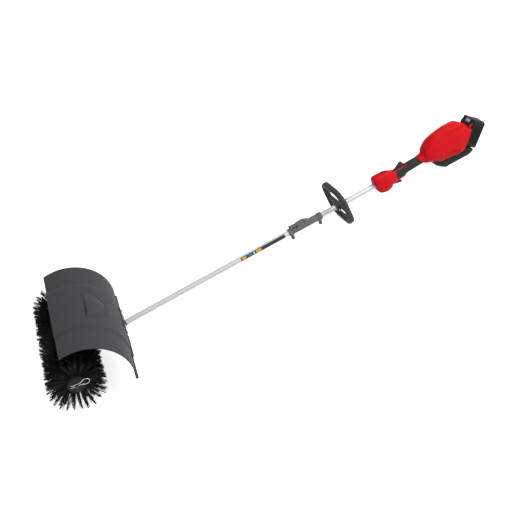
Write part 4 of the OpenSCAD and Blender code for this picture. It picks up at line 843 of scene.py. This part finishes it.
def makeBattery():
    bm = bmesh.new()
    low, high = battery["low"], battery["high"]
    blockOn(bm, slideFrame, low, high)
    posts = edgesAlong(bm, slideFrame.to_3x3() @ Vector((0, 0, 1)))
    roundOff(bm, posts, battery["corner"], 6)
    bottom = min(bm.faces, key=lambda f: (slideFrame.inverted() @ f.calc_center_median()).z)
    roundOff(bm, bottom.edges[:], battery["edge"], 3)
    for sign in (-1, 1):
        face = max(bm.faces, key=lambda f: sign * f.calc_center_median().y)
        sinkFaces(bm, [face], battery["border"])
        sinkFaces(bm, [face], battery["ease"], battery["sink"])
    return makePiece("batteryCase", bm, "batteryPlastic", "battery", ("battery_case",),
                     smooth=30)


def makeBatteryTrim():
    low, high = battery["low"], battery["high"]
    border, ends, wall = battery["border"] + inlay["margin"], inlay["ends"], high[1] - battery["sink"]
    for sign, side in ((-1, "Left"), (1, "Right")):
        bm = bmesh.new()
        y = sorted((sign * (wall - inlay["below"]), sign * (wall + inlay["above"])))
        blockOn(bm, slideFrame, (low[0] + border + ends, y[0], low[2] + border),
                (high[0] - border - ends, y[1], high[2] - border))
        softEdges(bm, inlay["corner"], segments=3, edges=edgesAlong(bm, Vector((0, 1, 0))))
        makePiece("batteryPanel" + side, bm, "labelPanel", "battery", ())
    slope = (slideFrame @ Matrix.Translation((gauge["x"] * mm, 0, gauge["z"] * mm))
             @ Matrix.Rotation(gauge["slope"], 4, "Y"))
    bm = bmesh.new()
    blockOn(bm, slope, *gauge["plate"])
    softEdges(bm, gauge["plateEdge"])
    makePiece("gaugePlate", bm, "gaugeGrey", "battery", ())
    bm = bmesh.new()
    for k in range(gauge["lights"]):
        blockOn(bm, slope, *[(x, y + gauge["pitch"] * k, z) for x, y, z in gauge["light"]])
    softEdges(bm, gauge["lightEdge"])
    makePiece("gaugeLights", bm, "gaugeLight", "battery", ())


makeBattery()
makeBatteryTrim()
print("stage: battery")

# rear foot of the rail, which closes the space below the battery
foot = dict(low=(-50, -41, -46), high=(-26, 41, 13), edge=4)


def makeFoot():
    bm = bmesh.new()
    blockOn(bm, slideFrame, foot["low"], foot["high"])
    softEdges(bm, foot["edge"])
    return makePiece("railFoot", bm, "batteryPlastic", "sweeper", ())


makeFoot()

# strip of plain colour fields round the lower tube
strip = dict(start=-1124, length=223, gap=.25, lift=.12, wall=.2, turn=95, tilt=12, share=.5, fieldShare=.36,
             steps=20,
             fields=(("stripBlack", 0, 1), ("stripAmber", .02, .12), ("stripBlue", .15, .26),
                     ("stripPale", .28, .31), ("stripAmber", .34, .46)))


def makeStrip():
    steps = strip["steps"]
    for k, (look, low, high) in enumerate(strip["fields"]):
        radius = tubeRadius / mm + strip["gap"] + strip["lift"] * (k > 0)
        half = math.radians(strip["turn"] * strip["share" if k == 0 else "fieldShare"])
        turns = [math.radians(strip["tilt"]) - half + 2 * half * n / steps for n in range(steps + 1)]
        rows = []
        for share in (low, high):
            x = strip["start"] + strip["length"] * share
            rows.append([shaftFrame @ (Vector((x, -radius * math.cos(a), radius * math.sin(a))) * mm)
                         for a in turns])
        bm = bmesh.new()
        sweepRows(bm, rows)
        bmesh.ops.recalc_face_normals(bm, faces=bm.faces[:])
        if bm.faces[:][steps // 2].normal.y > 0:
            bmesh.ops.reverse_faces(bm, faces=bm.faces[:])
        piece = makePiece(f"tubeStrip{k}", bm, look, "sweeper", (), smooth=60,
                          normals=False)
        thicken(piece, strip["wall"])


makeStrip()

# plug in the tube, flush enough for the front handle to slide over it
stop = dict(x=-571, radius=4.2, rise=.04, deep=1.2)


def makeStop():
    bm = bmesh.new()
    place = Matrix.Translation((stop["x"] * mm, 0, shaftZ + tubeRadius))
    rise, radius = stop["rise"], stop["radius"]
    outline = [(0, rise), (radius / 2, rise), (radius, rise), (radius, -stop["deep"])]
    spinProfile(bm, outline, place, Vector((0, 0, 1)), steps=24)
    for v in bm.verts:
        v.co.z -= tubeRadius - math.sqrt(tubeRadius ** 2 - v.co.y ** 2)
    return makePiece("tubeStop", bm, "blackSteel", "sweeper", ())


makeStop()
print("stage: tube details")

# finishes of the CAD nodes that no piece replaces
nodeFinish = {
    "castMetal": ("gear_case", "gear_cover", "worm_cap"),
    "brightSteel": ("worm", "lower_drive_shaft", "drive_socket", "upper_drive_shaft", "motor_rotor",
                    "axle_bearings", "worm_bearings", "motor_bearings", "lock_plunger", "pivot_pins"),
    "blackSteel": ("hood_bracket", "coupler_bolts", "brush_axle", "lever_pin"),
    "zincPlate": ("hood_bolts", "cover_screws", "loop_bolts", "housing_screws"),
    "blackPlastic": ("brush_core_left", "brush_core_right", "cooling_fan", "motor_mount", "motor_cover",
                     "battery_dock", "trigger_switch"),
    "tubeMetal": ("lower_tube", "upper_tube"),
    "gripRubber": ("axle_seals",),
    "bronzeWheel": ("worm_wheel",),
    "paleNylon": ("shaft_bushes",),
    "copperCore": ("motor_stator",),
    "boardGreen": ("control_board",),
    "cellWrap": ("battery_cells",),
}
for look, names in nodeFinish.items():
    for name in names:
        nodes[name].data.materials.clear()
        nodes[name].data.materials.append(finish(look))
print("stage: finishes on CAD nodes")

# camera, floor and light
view = dict(place=(-2.2093335, -3.8993608, 3.1170076), right=(.85304059, -.45507177, -.25540445),
            up=(.46943180, .45539756, .75646999), lens=81.4929, sensor=36, farthest=60)
studio = dict(floor=14, floorPlace=(-1, 0, -.0005), floorColour=.8, floorRough=.9, glow=.8, sky=.45,
              keyPower=190, keySize=3, keyPlace=(2.1, -2.1, 3.4), keyAim=(-1, 0, 0))


def makeCamera():
    camera = bpy.data.cameras.new("photoView")
    camera.lens = view["lens"]
    camera.sensor_width = view["sensor"]
    camera.clip_end = view["farthest"]
    right, up = Vector(view["right"]), Vector(view["up"])
    turned = Matrix((right, up, right.cross(up))).transposed().to_4x4()
    holder = bpy.data.objects.new("photoView", camera)
    holder.matrix_world = Matrix.Translation(view["place"]) @ turned
    bpy.context.scene.collection.objects.link(holder)
    bpy.context.scene.camera = holder


def seenDirectly(tree):
    # 1 for rays from the camera and for those in metal and glass
    path = tree.nodes.new("ShaderNodeLightPath")
    total = path.outputs["Is Camera Ray"]
    for kind in ("Is Glossy Ray", "Is Transmission Ray"):
        pick = tree.nodes.new("ShaderNodeMath")
        pick.operation = "MAXIMUM"
        tree.links.new(total, pick.inputs[0])
        tree.links.new(path.outputs[kind], pick.inputs[1])
        total = pick.outputs[0]
    return total


def makeFloor():
    bm = bmesh.new()
    bmesh.ops.create_grid(bm, x_segments=2, y_segments=2, size=studio["floor"])
    bmesh.ops.translate(bm, verts=bm.verts[:], vec=studio["floorPlace"])
    mesh = bpy.data.meshes.new("studioFloor")
    bm.to_mesh(mesh)
    bm.free()
    floor = bpy.data.objects.new("studioFloor", mesh)
    bpy.context.scene.collection.objects.link(floor)
    material = bpy.data.materials.new("paleFloor")
    material.use_nodes = True
    tree = material.node_tree
    shader = tree.nodes["Principled BSDF"]
    shader.inputs["Base Color"].default_value = (*[studio["floorColour"]] * 3, 1)
    shader.inputs["Roughness"].default_value = studio["floorRough"]
    shader.inputs["Specular IOR Level"].default_value = 0
    shader.inputs["Emission Color"].default_value = (1, 1, 1, 1)
    seen = seenDirectly(tree)
    glow = tree.nodes.new("ShaderNodeMath")
    glow.operation = "MULTIPLY"
    glow.inputs[1].default_value = studio["glow"]
    tree.links.new(seen, glow.inputs[0])
    tree.links.new(glow.outputs[0], shader.inputs["Emission Strength"])
    mesh.materials.append(material)


def makeLight():
    world = bpy.data.worlds.new("studio")
    bpy.context.scene.world = world
    world.use_nodes = True
    tree = world.node_tree
    background = tree.nodes["Background"]
    background.inputs["Color"].default_value = (1, 1, 1, 1)
    strength = tree.nodes.new("ShaderNodeMapRange")
    strength.inputs["To Min"].default_value = studio["sky"]
    strength.inputs["To Max"].default_value = 1
    tree.links.new(seenDirectly(tree), strength.inputs["Value"])
    tree.links.new(strength.outputs["Result"], background.inputs["Strength"])
    lamp = bpy.data.lights.new("keyLight", "AREA")
    lamp.energy = studio["keyPower"]
    lamp.size = studio["keySize"]
    holder = bpy.data.objects.new("keyLight", lamp)
    place, aim = Vector(studio["keyPlace"]), Vector(studio["keyAim"])
    turned = (aim - place).to_track_quat("-Z", "Y").to_matrix().to_4x4()
    holder.matrix_world = Matrix.Translation(place) @ turned
    bpy.context.scene.collection.objects.link(holder)


makeCamera()
makeFloor()
makeLight()
bpy.context.scene.view_settings.view_transform = "Standard"
print("stage: camera, floor and light")
